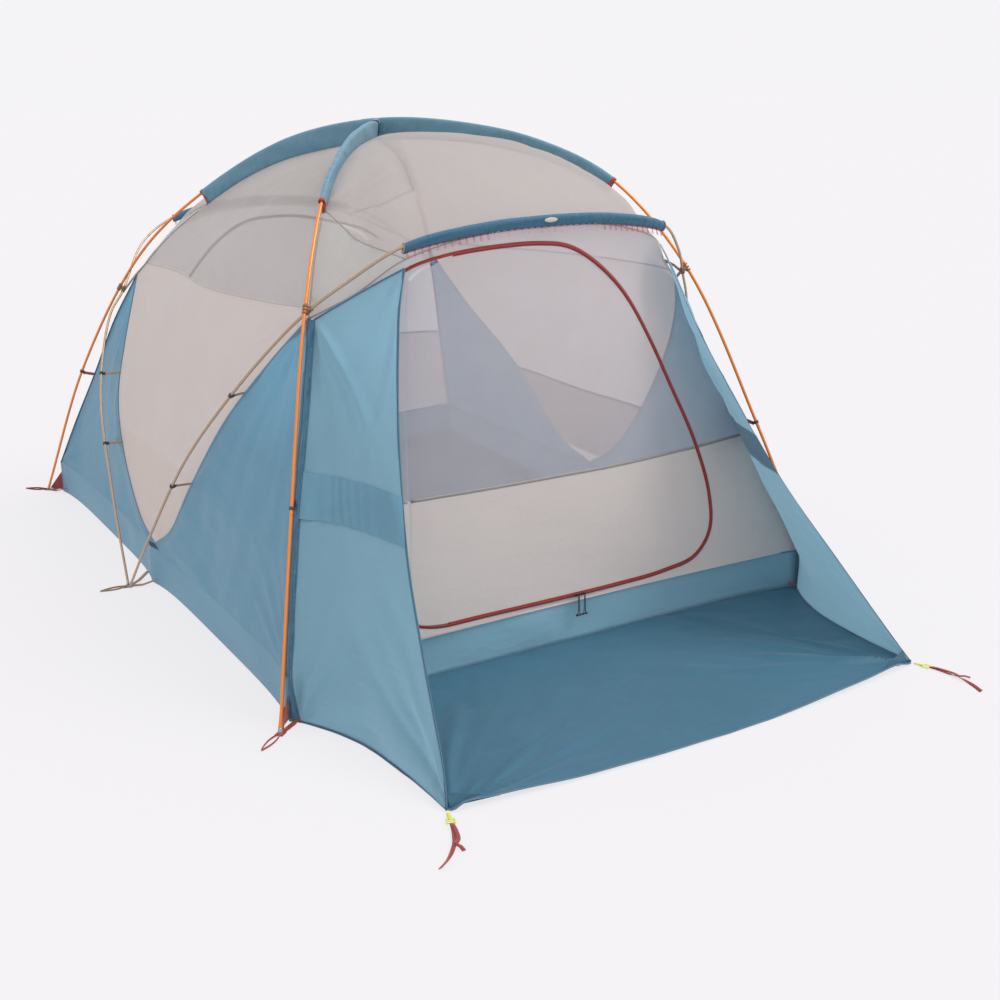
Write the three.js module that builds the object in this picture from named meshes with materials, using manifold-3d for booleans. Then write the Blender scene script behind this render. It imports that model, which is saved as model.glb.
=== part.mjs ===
// Free-standing dome tent: two crossed main poles, a brow pole over each end, a clipped-on fabric
// body with a door at each end, and an open porch staked out in front of the front door.
// Millimetres. +X is the right side seen from the front, the front faces -Y, +Z is up.
// Origin: middle of the tub floor's underside.
import * as THREE from 'three';
import Module from 'manifold-3d';

const wasm = await Module();
wasm.setup();

// ---------------------------------------------------------------- driving dimensions
const TUB_HALF_WIDTH = 1145;
const TUB_HALF_LENGTH = 1505;
const TUB_WALL = 165; // height of the waterproof wall round the floor
const CORNER_X = 1178; // where the tub's corners are pulled out to
const CORNER_Y = 1556;
const FOOT_X = 1239; // main pole feet
const FOOT_Y = 1623;
const MID_FOOT_X = 1280; // brow pole feet, at the middle of each side
const PEAK = 1918;
const CANOPY_PEAK = 1850;
const POLE_R = 6.25;
const BROW_R = 5.5;
const CLOTH = 3; // every sewn panel is drawn this thick
const SEAM = 5; // how far a panel stops short of the seam line it shares
const PORCH_FRONT = 2380; // how far forward the porch is staked
const PORCH_HALF = 1000;
const POLE_LIFT = 7; // one main pole passes this far over, the other this far under, the peak
const FOOT_ZONE = 100; // points of a pole lower than this stay where they are on the ground
const MID_PULL = 32; // how far the tub is pulled out at the middle feet
const WELT = 1; // the tub's wall leans out by this much on its inside, so a mat lies flat up to it

const LEFT = -1;
const RIGHT = 1;
const FRONT = -1;
const BACK = 1;
const SIDE_NAME = { [LEFT]: 'left', [RIGHT]: 'right' };
const END_NAME = { [FRONT]: 'front', [BACK]: 'back' };
const ALL_SIDES = [LEFT, RIGHT];
const ALL_ENDS = [FRONT, BACK];

// Heights along a diagonal, as [share of the way from the middle to the foot, height].
const POLE_PROFILE = {
  [FRONT]: [[0.2, 1905], [0.374, 1835], [0.53, 1690], [0.692, 1340], [0.85, 705], [1, 6]],
  [BACK]: [[0.223, 1828], [0.455, 1585], [0.642, 1283], [0.842, 701], [1, 6]],
};
const RIDGE_CREASE = {
  [FRONT]: [[0.668, 1300], [0.6, 1500], [0.522, 1638], [0.415, 1752], [0.24, 1832], [0, CANOPY_PEAK]],
  [BACK]: [[0.656, 1185], [0.56, 1372], [0.446, 1534], [0.345, 1654], [0.226, 1752], [0, CANOPY_PEAK]],
};
const LEG_CREASE = {
  [FRONT]: [[0.947, TUB_WALL], [0.9, 400], [0.829, 709], [0.74, 1010], [0.668, 1300]],
  [BACK]: [[0.947, TUB_WALL], [0.885, 400], [0.808, 674], [0.735, 950], [0.656, 1185]],
};
// Brow poles and brow creases for the right half, as [x, distance forward or back, height].
const BROW_POLE = {
  [FRONT]: [[MID_FOOT_X, 15, 7], [1240, 265, 311], [1158, 635, 747], [979, 976, 1149], [846, 1108, 1327],
    [725, 1226, 1447], [565, 1330, 1563], [300, 1378, 1618], [0, 1388, 1631]],
  [BACK]: [[MID_FOOT_X, 15, 7], [1228, 322, 309], [1132, 733, 704], [966, 1052, 1010], [872, 1141, 1099],
    [686, 1345, 1309], [494, 1430, 1410], [260, 1462, 1463], [0, 1470, 1478]],
};
const SIDE_CREASE = {
  [FRONT]: [[1152, 12, 178], [1142, 230, 300], [1120, 460, 540], [1045, 745, 880], [940, 945, 1118],
    [828, 1084, 1300]],
  [BACK]: [[1152, -12, 178], [1142, 230, 250], [1115, 500, 490], [1060, 700, 680], [960, 880, 880],
    [813, 1065, 1185]],
};
const BROW_CREASE = {
  [FRONT]: [[828, 1084, 1300], [690, 1185, 1388], [556, 1292, 1505], [370, 1336, 1566], [170, 1352, 1596],
    [0, 1356, 1603]],
  [BACK]: [[813, 1065, 1185], [660, 1235, 1275], [500, 1350, 1362], [300, 1410, 1418], [140, 1425, 1438],
    [0, 1428, 1443]],
};
const WALL_FOOT = { [FRONT]: 1508, [BACK]: 1508 };
const WALL_HEAD = { [FRONT]: 1356, [BACK]: 1428 };

// ---------------------------------------------------------------- small helpers
const v3 = (x, y, z) => new THREE.Vector3(x, y, z);
const lerp = (a, b, t) => a + (b - a) * t;
const smooth = (points) => new THREE.CatmullRomCurve3(points, false, 'centripetal');
const range = (n) => Array.from({ length: n }, (_, i) => i);

/** Points on the vertical plane through the middle and one main pole foot. */
function onDiagonal(side, end, profile) {
  return profile.map(([share, height]) => v3(side * FOOT_X * share, end * FOOT_Y * share, height));
}

function placed(side, end, points) {
  return points.map(([x, out, z]) => v3(side * x, end * out, z));
}

/** Closed solid through rings of equal length, capped at both ends. */
function loft(rings) {
  const positions = rings.flatMap((ring) => ring.flatMap((p) => [p.x, p.y, p.z]));
  const n = rings[0].length;
  const index = [];
  for (let r = 0; r + 1 < rings.length; r += 1) {
    for (let i = 0; i < n; i += 1) {
      const a = r * n + i;
      const b = r * n + ((i + 1) % n);
      index.push(a, b, b + n, a, b + n, a + n);
    }
  }
  const last = (rings.length - 1) * n;
  for (let i = 1; i + 1 < n; i += 1) {
    index.push(0, i + 1, i, last, last + i, last + i + 1);
  }
  return faceOut(positions, index);
}

/** Geometry from positions and triangles, turned inside out when its volume comes out negative. */
function faceOut(positions, index) {
  let volume = 0;
  const corner = (k) => v3(positions[3 * k], positions[3 * k + 1], positions[3 * k + 2]);
  for (let t = 0; t < index.length; t += 3) {
    volume += corner(index[t]).dot(corner(index[t + 1]).cross(corner(index[t + 2])));
  }
  const geometry = new THREE.BufferGeometry();
  geometry.setAttribute('position', new THREE.Float32BufferAttribute(positions, 3));
  const order = volume < 0 ? index.map((_, i) => index[i - (i % 3) + 2 - (i % 3)]) : index;
  geometry.setIndex(order);
  return geometry;
}

/** Frames along a curve: centre, tangent and two directions across it, the first near `upHint`. */
function frames(curve, steps, upHint = v3(0, 0, 1), from = 0, to = 1) {
  return range(steps + 1).map((i) => {
    const t = lerp(from, to, i / steps);
    const centre = curve.getPoint(t);
    const tangent = curve.getTangent(t);
    const across = tangent.clone().cross(upHint).normalize();
    const up = across.clone().cross(tangent).normalize();
    return { centre, tangent, across, up };
  });
}

/** Sweep of an outline given as [across, up] pairs. */
function sweep(curve, outline, steps, options = {}) {
  const { hint, from = 0, to = 1 } = options;
  return loft(frames(curve, steps, hint, from, to).map((f) => outline.map(([a, u]) => (
    f.centre.clone().addScaledVector(f.across, a).addScaledVector(f.up, u)))));
}

function circle(radius, sides, turn = 0) {
  return range(sides).map((i) => {
    const angle = (2 * Math.PI * i) / sides + turn;
    return [radius * Math.cos(angle), radius * Math.sin(angle)];
  });
}

/** Panel of even thickness over a grid of points. */
function shell(grid, thickness = CLOTH) {
  const rows = grid.length;
  const cols = grid[0].length;
  const at = (i, j) => grid[Math.min(Math.max(i, 0), rows - 1)][Math.min(Math.max(j, 0), cols - 1)];
  const normal = (i, j) => {
    const along = at(i + 1, j).clone().sub(at(i - 1, j));
    const beside = at(i, j + 1).clone().sub(at(i, j - 1));
    return along.cross(beside).normalize();
  };
  const positions = [];
  [0.5, -0.5].forEach((share) => {
    for (let i = 0; i < rows; i += 1) {
      for (let j = 0; j < cols; j += 1) {
        const p = at(i, j).clone().addScaledVector(normal(i, j), share * thickness);
        positions.push(p.x, p.y, p.z);
      }
    }
  });
  const index = [];
  const under = rows * cols;
  const id = (i, j) => i * cols + j;
  for (let i = 0; i + 1 < rows; i += 1) {
    for (let j = 0; j + 1 < cols; j += 1) {
      const [a, b, c, d] = [id(i, j), id(i + 1, j), id(i + 1, j + 1), id(i, j + 1)];
      index.push(a, b, c, a, c, d);
      index.push(under + a, under + c, under + b, under + a, under + d, under + c);
    }
  }
  const rim = [];
  for (let j = 0; j < cols; j += 1) rim.push(id(0, j));
  for (let i = 1; i < rows; i += 1) rim.push(id(i, cols - 1));
  for (let j = cols - 2; j >= 0; j -= 1) rim.push(id(rows - 1, j));
  for (let i = rows - 2; i > 0; i -= 1) rim.push(id(i, 0));
  rim.forEach((a, k) => {
    const b = rim[(k + 1) % rim.length];
    index.push(a, b, under + b, a, under + b, under + a);
  });
  return faceOut(positions, index);
}

/** Grid over a four-sided patch: low/high run with v at u = 0 and 1, start/stop with u at v = 0 and 1. */
function coons(low, high, start, stop, rows, cols) {
  return range(rows + 1).map((i) => range(cols + 1).map((j) => {
    const u = i / rows;
    const v = j / cols;
    const ruled = low.getPoint(v).multiplyScalar(1 - u).addScaledVector(high.getPoint(v), u);
    const other = start.getPoint(u).multiplyScalar(1 - v).addScaledVector(stop.getPoint(u), v);
    const corners = low.getPoint(0).multiplyScalar((1 - u) * (1 - v))
      .addScaledVector(low.getPoint(1), (1 - u) * v)
      .addScaledVector(high.getPoint(0), u * (1 - v))
      .addScaledVector(high.getPoint(1), u * v);
    return ruled.add(other).sub(corners);
  }));
}

/** Pulls the border of a grid in by `gap` on the sides named: [first row, last row, first col, last col]. */
function inset(grid, gaps) {
  const rows = grid.length;
  const cols = grid[0].length;
  const out = grid.map((row) => row.map((p) => p.clone()));
  const pull = (target, toward, gap) => {
    const step = toward.clone().sub(target);
    const share = Math.min(gap / Math.max(step.length(), 1e-6), 0.45);
    return target.addScaledVector(step, share);
  };
  for (let i = 0; i < rows; i += 1) {
    pull(out[i][0], grid[i][1], gaps[2]);
    pull(out[i][cols - 1], grid[i][cols - 2], gaps[3]);
  }
  for (let j = 0; j < cols; j += 1) {
    pull(out[0][j], grid[1][j], gaps[0]);
    pull(out[rows - 1][j], grid[rows - 2][j], gaps[1]);
  }
  return out;
}

/** Part of a curve, as a curve of its own. */
function portion(curve, from, to, count = 12) {
  return smooth(range(count + 1).map((i) => curve.getPoint(lerp(from, to, i / count))));
}

function mirrored(points) {
  return points.map((p) => v3(-p.x, p.y, p.z));
}

// ---------------------------------------------------------------- solids through manifold
function toManifold(geometry) {
  const position = geometry.getAttribute('position');
  const source = geometry.index ? Array.from(geometry.index.array) : range(position.count);
  const seen = new Map();
  const vertices = [];
  const triangles = source.map((k) => {
    const p = [position.getX(k), position.getY(k), position.getZ(k)];
    const key = p.map((c) => Math.round(c * 1e4)).join(',');
    if (!seen.has(key)) {
      seen.set(key, vertices.length / 3);
      vertices.push(...p);
    }
    return seen.get(key);
  });
  const clean = [];
  for (let t = 0; t < triangles.length; t += 3) {
    const [a, b, c] = triangles.slice(t, t + 3);
    if (a !== b && b !== c && c !== a) clean.push(a, b, c);
  }
  return new wasm.Manifold(new wasm.Mesh({
    numProp: 3,
    vertProperties: new Float32Array(vertices),
    triVerts: new Uint32Array(clean),
  }));
}

function fromManifold(solid) {
  const mesh = solid.getMesh();
  const geometry = new THREE.BufferGeometry();
  const positions = [];
  for (let i = 0; i < mesh.vertProperties.length; i += mesh.numProp) {
    positions.push(...mesh.vertProperties.slice(i, i + 3));
  }
  geometry.setAttribute('position', new THREE.Float32BufferAttribute(positions, 3));
  geometry.setIndex(Array.from(mesh.triVerts));
  return geometry;
}

const join = (...parts) => fromManifold(parts.map(toManifold).reduce((a, b) => a.add(b)));
const cut = (body, ...tools) => fromManifold(
  tools.map(toManifold).reduce((a, b) => a.subtract(b), toManifold(body)),
);
const common = (a, b) => fromManifold(toManifold(a).intersect(toManifold(b)));

/** Prism along Y over an outline of [x, z] pairs. */
function prism(outline, yFrom, yTo) {
  return loft([yFrom, yTo].map((y) => outline.map(([x, z]) => v3(x, y, z))));
}

/** Straight bar with a rectangular section between two points. */
function bar(from, to, width, thickness, hint = v3(0, 0, 1)) {
  const line = new THREE.LineCurve3(from, to);
  const [w, t] = [width / 2, thickness / 2];
  return sweep(line, [[-w, -t], [w, -t], [w, t], [-w, t]], 1, { hint });
}

function rod(from, to, radius, sides = 12, hint = v3(0.12, 0.07, 0.99)) {
  return sweep(new THREE.LineCurve3(from, to), circle(radius, sides), 1, { hint });
}

// ---------------------------------------------------------------- part and colour list
const tent = new THREE.Group();
tent.name = 'dome_tent';

function add(name, geometry, color, roughness = 0.9, metalness = 0) {
  const mesh = new THREE.Mesh(
    geometry,
    new THREE.MeshStandardMaterial({ color, roughness, metalness }),
  );
  mesh.name = name;
  tent.add(mesh);
}

const BLUE = 0x6c96ae;
const DEEP_BLUE = 0x4d7d98;
const PORCH_BLUE = 0x7ba5ba;
const PALE_GREY = 0xc9c2be;
const MESH_GREY = 0xb3adab;
const ORANGE = 0xe8822e;
const BRONZE = 0x8d7a66;
const RED = 0xa5352f;
const ZIP_RED = 0x97282d;
const BRONZE_WEB = 0x9a8776;
const BLACK = 0x2a2b2e;
const YELLOW = 0xd2dc46;

// ---------------------------------------------------------------- poles
/** Main pole from the front foot on one side, over the peak, to the back foot on the other. */
function mainPoleCurve(frontSide, lift) {
  const scale = (PEAK + lift) / PEAK;
  const raised = (profile) => profile.map(([s, h]) => [s, h > FOOT_ZONE ? h * scale : h]);
  const front = onDiagonal(frontSide, FRONT, raised(POLE_PROFILE[FRONT])).reverse();
  const back = onDiagonal(-frontSide, BACK, raised(POLE_PROFILE[BACK]));
  return smooth([...front, v3(0, 0, PEAK + lift), ...back]);
}

function browPoleCurve(end) {
  const half = placed(RIGHT, end, BROW_POLE[end]);
  return smooth([...mirrored(half), ...half.slice(0, -1).reverse()]);
}

const MAIN_POLE = {
  [LEFT]: mainPoleCurve(LEFT, -POLE_LIFT),
  [RIGHT]: mainPoleCurve(RIGHT, POLE_LIFT),
};
const BROW_CURVE = { [FRONT]: browPoleCurve(FRONT), [BACK]: browPoleCurve(BACK) };

/** Poles and the channels cut for them share the same stations, so the channel always clears the pole. */
const POLE_STEPS = 28;
const POLE_SIDES = 8;
const poleSolid = (curve, radius) => sweep(curve, circle(radius, POLE_SIDES), POLE_STEPS);

/** Where a pole's axis is, and how it runs, between two stations. */
function onPole(curve, t) {
  const k = Math.min(Math.floor(t * POLE_STEPS), POLE_STEPS - 1);
  const [from, to] = [curve.getPoint(k / POLE_STEPS), curve.getPoint((k + 1) / POLE_STEPS)];
  return {
    centre: from.clone().lerp(to, t * POLE_STEPS - k),
    tangent: to.clone().sub(from).normalize(),
  };
}

/** Curve parameter nearest to a point. */
function nearest(curve, point, from = 0, to = 1) {
  let best = from;
  let distance = Infinity;
  range(401).forEach((i) => {
    const t = lerp(from, to, i / 400);
    const d = curve.getPoint(t).distanceTo(point);
    if (d < distance) {
      distance = d;
      best = t;
    }
  });
  return best;
}

function addPoles() {
  add('main_pole_front_left_to_back_right', poleSolid(MAIN_POLE[LEFT], POLE_R), ORANGE, 0.35, 0.5);
  add('main_pole_front_right_to_back_left', poleSolid(MAIN_POLE[RIGHT], POLE_R), ORANGE, 0.35, 0.5);
  ALL_ENDS.forEach((end) => {
    add(`brow_pole_${END_NAME[end]}`, poleSolid(BROW_CURVE[end], BROW_R), BRONZE, 0.35, 0.6);
  });
}

// ---------------------------------------------------------------- seam lines of the fabric body
const ridge = (side, end) => smooth(onDiagonal(side, end, RIDGE_CREASE[end]));
const leg = (side, end) => smooth(onDiagonal(side, end, LEG_CREASE[end]));
const sideCrease = (side, end) => smooth(placed(side, end, SIDE_CREASE[end]));
const browCrease = (side, end) => smooth(placed(side, end, BROW_CREASE[end]));

/** Plan of the tub's edge along one side, from the middle foot to a corner, u from 0 to 1. */
function tubSidePoint(side, end, u, z) {
  const pulled = MID_PULL * (1 - u) ** 12 + (CORNER_X - TUB_HALF_WIDTH) * u ** 10;
  return v3(side * (TUB_HALF_WIDTH + pulled), end * CORNER_Y * u, z);
}

/** Plan of the tub's edge along one end, from the middle to a corner. */
function tubEndPoint(side, end, u, z) {
  const pulled = (CORNER_Y - TUB_HALF_LENGTH) * u ** 8;
  return v3(side * CORNER_X * u, end * (TUB_HALF_LENGTH + pulled), z);
}

// ---------------------------------------------------------------- fabric body
function tubOutline(gap) {
  const points = [];
  const steps = 4;
  const push = (p) => points.push([p.x * (1 - gap / CORNER_X), p.y * (1 - gap / TUB_HALF_LENGTH)]);
  range(steps).forEach((i) => push(tubSidePoint(RIGHT, BACK, i / steps, 0)));
  range(steps).forEach((i) => push(tubEndPoint(RIGHT, BACK, 1 - i / steps, 0)));
  range(steps).forEach((i) => push(tubEndPoint(LEFT, BACK, i / steps, 0)));
  range(steps).forEach((i) => push(tubSidePoint(LEFT, BACK, 1 - i / steps, 0)));
  range(steps).forEach((i) => push(tubSidePoint(LEFT, FRONT, i / steps, 0)));
  range(steps).forEach((i) => push(tubEndPoint(LEFT, FRONT, 1 - i / steps, 0)));
  range(steps).forEach((i) => push(tubEndPoint(RIGHT, FRONT, i / steps, 0)));
  range(steps).forEach((i) => push(tubSidePoint(RIGHT, FRONT, 1 - i / steps, 0)));
  return points;
}

function addTub() {
  const flat = (gap, z) => tubOutline(gap).map(([x, y]) => v3(x, y, z));
  const wall = CLOTH + 1;
  const outer = loft([flat(0, 0), flat(SEAM, TUB_WALL - SEAM)]);
  const inner = loft([flat(wall + SEAM + WELT, CLOTH), flat(wall + SEAM, TUB_WALL + SEAM)]);
  add('tub_floor', cut(outer, inner), DEEP_BLUE);
}

function addSidePanels() {
  const tuck = 0.25; // the shield's foot stops short of the point where the two creases meet
  const hubGap = 0.975; // a corner panel's head stops short of the hub
  const footGap = 0.008; // and its foot short of the middle foot
  ALL_SIDES.forEach((side) => {
    const shield = coons(
      sideCrease(side, BACK),
      ridge(side, FRONT),
      sideCrease(side, FRONT),
      ridge(side, BACK),
      7,
      7,
    );
    shield[0][0] = shield[0][0].clone().lerp(shield[1][1], tuck);
    add(`side_panel_${SIDE_NAME[side]}`, shell(inset(shield, [SEAM, SEAM, SEAM, SEAM])), PALE_GREY);
    ALL_ENDS.forEach((end) => {
      const rows = 6;
      const cols = 5;
      const crease = portion(sideCrease(side, end), 0, hubGap);
      const corner = portion(leg(side, end), 0, hubGap);
      const bottom = smooth(range(9).map((i) => {
        const u = i / 8;
        return tubSidePoint(side, end, lerp(footGap, 1, u), TUB_WALL);
      }));
      const head = new THREE.LineCurve3(crease.getPoint(1), corner.getPoint(1));
      const low = smooth([crease.getPoint(0), ...range(7).map((i) => bottom.getPoint((i + 1) / 8)),
        corner.getPoint(0)]);
      const grid = coons(low, head, crease, corner, rows, cols);
      add(
        `corner_panel_${END_NAME[end]}_${SIDE_NAME[side]}`,
        shell(inset(grid, [SEAM, 0, 2 * SEAM, SEAM])),
        BLUE,
      );
    });
  });
}

function addRoof() {
  ALL_ENDS.forEach((end) => {
    const apex = 0.97;
    const leftRidge = portion(ridge(LEFT, end), 0, apex);
    const rightRidge = portion(ridge(RIGHT, end), 0, apex);
    const rightHalf = placed(RIGHT, end, BROW_CREASE[end]);
    const base = smooth([...mirrored(rightHalf), ...rightHalf.slice(0, -1).reverse()]);
    const head = new THREE.LineCurve3(leftRidge.getPoint(1), rightRidge.getPoint(1));
    const grid = coons(base, head, leftRidge, rightRidge, 6, 8);
    add(`roof_panel_${END_NAME[end]}`, shell(inset(grid, [SEAM, 0, SEAM, SEAM])), MESH_GREY);
  });
}

// ---------------------------------------------------------------- end walls, doors and zips
/** Border of an end wall's right half from the tub corner to the middle of the brow, by height. */
function wallBorder(end) {
  const points = [...leg(RIGHT, end).getPoints(14), ...browCrease(RIGHT, end).getPoints(20).slice(1)];
  return points.map((p) => [p.z, p.x, Math.abs(p.y)]);
}

function atHeight(border, z) {
  const k = border.findIndex((b) => b[0] >= z);
  if (k <= 0) return k === 0 ? border[0] : border[border.length - 1];
  const [a, b] = [border[k - 1], border[k]];
  const t = (z - a[0]) / (b[0] - a[0]);
  return [z, lerp(a[1], b[1], t), lerp(a[2], b[2], t)];
}

/** How far forward or back an end wall stands at (x, z): nearly flat, curling in to its border. */
function wallOut(end, border, x, z) {
  const [, xBorder, outBorder] = atHeight(border, z);
  const head = border[border.length - 1][0];
  const middle = lerp(WALL_FOOT[end], WALL_HEAD[end], (z - TUB_WALL) / (head - TUB_WALL));
  const share = Math.min(Math.abs(x) / Math.max(xBorder, 1), 1);
  return middle + (outBorder - middle) * share ** 2.5;
}

const MIDDLE_GAP = 60; // the wall's head is drawn straight across the middle, between points this far out

/** Outline of an end wall as [x, z], pulled in by `gap`. */
function wallOutline(border, gap) {
  const head = border[border.length - 1][0];
  const right = border.filter((_, i) => i % 2 === 0 || i === border.length - 1).map(([z, x]) => [
    Math.max(x - gap, 0),
    Math.min(Math.max(z, TUB_WALL + gap), head - gap),
  ]);
  const half = right.filter(([x]) => x > MIDDLE_GAP);
  return [...half, ...half.map(([x, z]) => [-x, z]).reverse()];
}

// D-shaped doorway seen from outside: the hinge on the left, then head, right edge and foot.
// The zip starts a little beyond the hinge's head, over the wall.
const DOOR = {
  [FRONT]: {
    hinge: [[-672, 262], [-530, 1440], [-494, 1472]],
    zipHead: [[-580, 1446], [-505, 1490]],
    rim: [[-380, 1522], [-200, 1539], [-20, 1538], [95, 1520], [206, 1462],
      [378, 1312], [502, 1123], [600, 915], [690, 690], [738, 480], [726, 330], [640, 236], [480, 204],
      [250, 194], [-380, 196], [-560, 200], [-650, 222]],
  },
  [BACK]: {
    hinge: [[-672, 262], [-560, 1230], [-518, 1276]],
    zipHead: [[-605, 1240], [-530, 1290]],
    rim: [[-380, 1336], [-200, 1372], [-20, 1378], [95, 1362], [206, 1312],
      [378, 1180], [502, 1030], [600, 860], [690, 670], [738, 480], [726, 330], [640, 236], [480, 204],
      [250, 194], [-380, 196], [-560, 200], [-650, 222]],
  },
};
const DOOR_MIDDLE = [20, 760];
const DOOR_FOOT = 195; // height of the zip's straight run along the doorway's foot
const ZIP_R = 3.2;
const SLIDER_CLEAR = 1.8; // running clearance of a slider over the zip
const ZIP_CLEAR = 4; // the zip stands this far off the cloth
const WALL_GAP = 5; // how far the wall stops short of the zip's line
const DOOR_GAP = 8.5; // how far the door does

/** Door outline as [x, z], grown by `grow`; the back door is the same door seen from behind. */
function doorOutline(end, grow) {
  const { hinge, rim } = DOOR[end];
  return grownOutline(end, [...hinge, ...rim], grow);
}

function grownOutline(end, ring, grow) {
  const centre = DOOR_MIDDLE;
  const n = ring.length;
  return ring.map(([x, z], i) => {
    const before = ring[(i + n - 1) % n];
    const after = ring[(i + 1) % n];
    const [tx, tz] = [after[0] - before[0], after[1] - before[1]];
    const length = Math.hypot(tx, tz);
    const sign = (tz * (x - centre[0]) - tx * (z - centre[1])) > 0 ? 1 : -1;
    return [(x + (sign * grow * tz) / length) * -end, z - (sign * grow * tx) / length];
  });
}

function addEndWall(end) {
  const border = wallBorder(end);
  const head = border[border.length - 1][0];
  const across = 12;
  const margin = 10; // the sheet is made this much too large, then cut to its outline
  const seamGap = 9;
  const narrowest = 200;
  const hubHeight = RIDGE_CREASE[end][0][1];
  const levels = [
    TUB_WALL - margin,
    ...range(4).map((i) => lerp(TUB_WALL, hubHeight, (i + 1) / 4)),
    ...range(4).map((i) => lerp(hubHeight, head + margin, (i + 1) / 4)),
  ];
  const grid = levels.map((z) => range(across + 1).map((j) => {
    const level = Math.min(Math.max(z, TUB_WALL), head);
    const x = lerp(-1.02, 1.02, j / across) * Math.max(atHeight(border, level)[1], narrowest);
    return v3(x, end * wallOut(end, border, x, level), z);
  }));
  const sheet = shell(grid);
  const near = end * 900;
  const far = end * 1700;
  const wall = cut(common(sheet, prism(wallOutline(border, seamGap), near, far)),
    prism(doorOutline(end, WALL_GAP), near, far));
  add(`${END_NAME[end]}_wall`, wall, MESH_GREY);
  add(`${END_NAME[end]}_door`, common(sheet, prism(doorOutline(end, -DOOR_GAP), near, far)), MESH_GREY);
  addZip(end, border);
}

/** The zip runs round the doorway from the hinge's head to its foot, just outside the cloth. */
function zipPoint(end, border, x, z, out) {
  return v3(x, end * (wallOut(end, border, x, z) + out), z);
}

function addZip(end, border) {
  const rim = [...DOOR[end].zipHead, ...DOOR[end].rim].map(([x, z]) => [x * -end, z]);
  const track = smooth(rim.map(([x, z]) => zipPoint(end, border, x, z, ZIP_R + CLOTH / 2 + ZIP_CLEAR)));
  add(`${END_NAME[end]}_zip`, sweep(track, circle(ZIP_R, 5), 34, { hint: v3(0.05, end, 0.1) }), ZIP_RED, 0.5);
  ALL_SIDES.forEach((side) => {
    const x = SLIDERS_AT * -end + side * SLIDER_APART;
    const out = 2 * ZIP_R + CLOTH / 2 + ZIP_CLEAR + SLIDER_CLEAR + SLIDER_THICK / 2;
    const middle = zipPoint(end, border, x, DOOR_FOOT, out);
    const name = SIDE_NAME[side];
    add(`${END_NAME[end]}_slider_${name}`, slider(end, middle), BLACK, 0.45, 0.6);
    if (end === FRONT) {
      add(`front_zip_pull_${name}`, zipPull(end, middle), BLACK, 0.6);
    }
  });
}

const SLIDERS_AT = 62; // both sliders are parked here, in the middle of the doorway's foot
const SLIDER_APART = 14;
const SLIDER_THICK = 4;
const ARCH_REACH = 9; // how far the slider's arch stands off its plate

/** Slider: a plate over the zip and an arch on it that the pull hangs from. */
function slider(end, middle) {
  const [halfLength, halfArch] = [11, 6];
  const at = (x, out) => middle.clone().add(v3(x, end * out, 0));
  return join(
    bar(at(-halfLength, 0), at(halfLength, 0), 3.6, 10),
    bar(at(-halfArch, 1.5), at(-halfArch, ARCH_REACH + 1), 3, 3),
    bar(at(halfArch, 1.5), at(halfArch, ARCH_REACH + 1), 3, 3),
    bar(at(-halfArch - 1.5, ARCH_REACH), at(halfArch + 1.5, ARCH_REACH), 2.4, 2.4),
  );
}

/** Pull: a hook through the slider's arch, a cord and a toggle. */
function zipPull(end, middle) {
  const out = 3.4; // the cord hangs this far outside the arch's crossbar
  const [cordEnd, toggleEnd] = [-62, -84];
  const facing = v3(0, 1, 0.01);
  const drop = (y, dz) => middle.clone().add(v3(0, end * (ARCH_REACH + y), dz));
  return join(
    bar(drop(-3.1, 4.6), drop(-3.1, -2), 5, 1.6, facing),
    bar(drop(-3.6, 4), drop(4.2, 4), 5, 1.6),
    bar(drop(out, 4.8), drop(out, -12), 5, 2, facing),
    rod(drop(out, -10), drop(out, cordEnd), 1.4, 6, v3(1, 0, 0)),
    rod(drop(out, cordEnd + 2), drop(out, toggleEnd), 4, 8, v3(1, 0, 0)),
  );
}

// ---------------------------------------------------------------- pole sleeves
const SLEEVE_ROOM = 6; // cloth and slack between a pole and its sleeve's outside
const SLEEVE_CLEAR = 1.2;
const CLIP_CLEAR = 0.6;
const HEM_DROP = 20; // a brow sleeve's hem hangs this far below the pole

/** Fin of cloth hung from a pole over the canopy: a loop round the pole, drawn down to a seam. */
function finSection(radius, drop) {
  const loop = range(5).map((i) => {
    const angle = Math.PI * (-0.12 + (1.24 * i) / 4);
    return [radius * Math.cos(angle), radius * Math.sin(angle)];
  });
  return [...loop, [-2, -drop], [2, -drop]];
}

function sleeve(curve, poleRadius, from, to, dropAt, steps) {
  const rings = frames(curve, steps, v3(0, 0, 1), from, to).map((f, i) => (
    finSection(poleRadius + SLEEVE_ROOM, dropAt(i / steps)).map(([a, u]) => (
      f.centre.clone().addScaledVector(f.across, a).addScaledVector(f.up, u)))));
  return cut(loft(rings), poleSolid(curve, poleRadius + SLEEVE_CLEAR));
}

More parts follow.
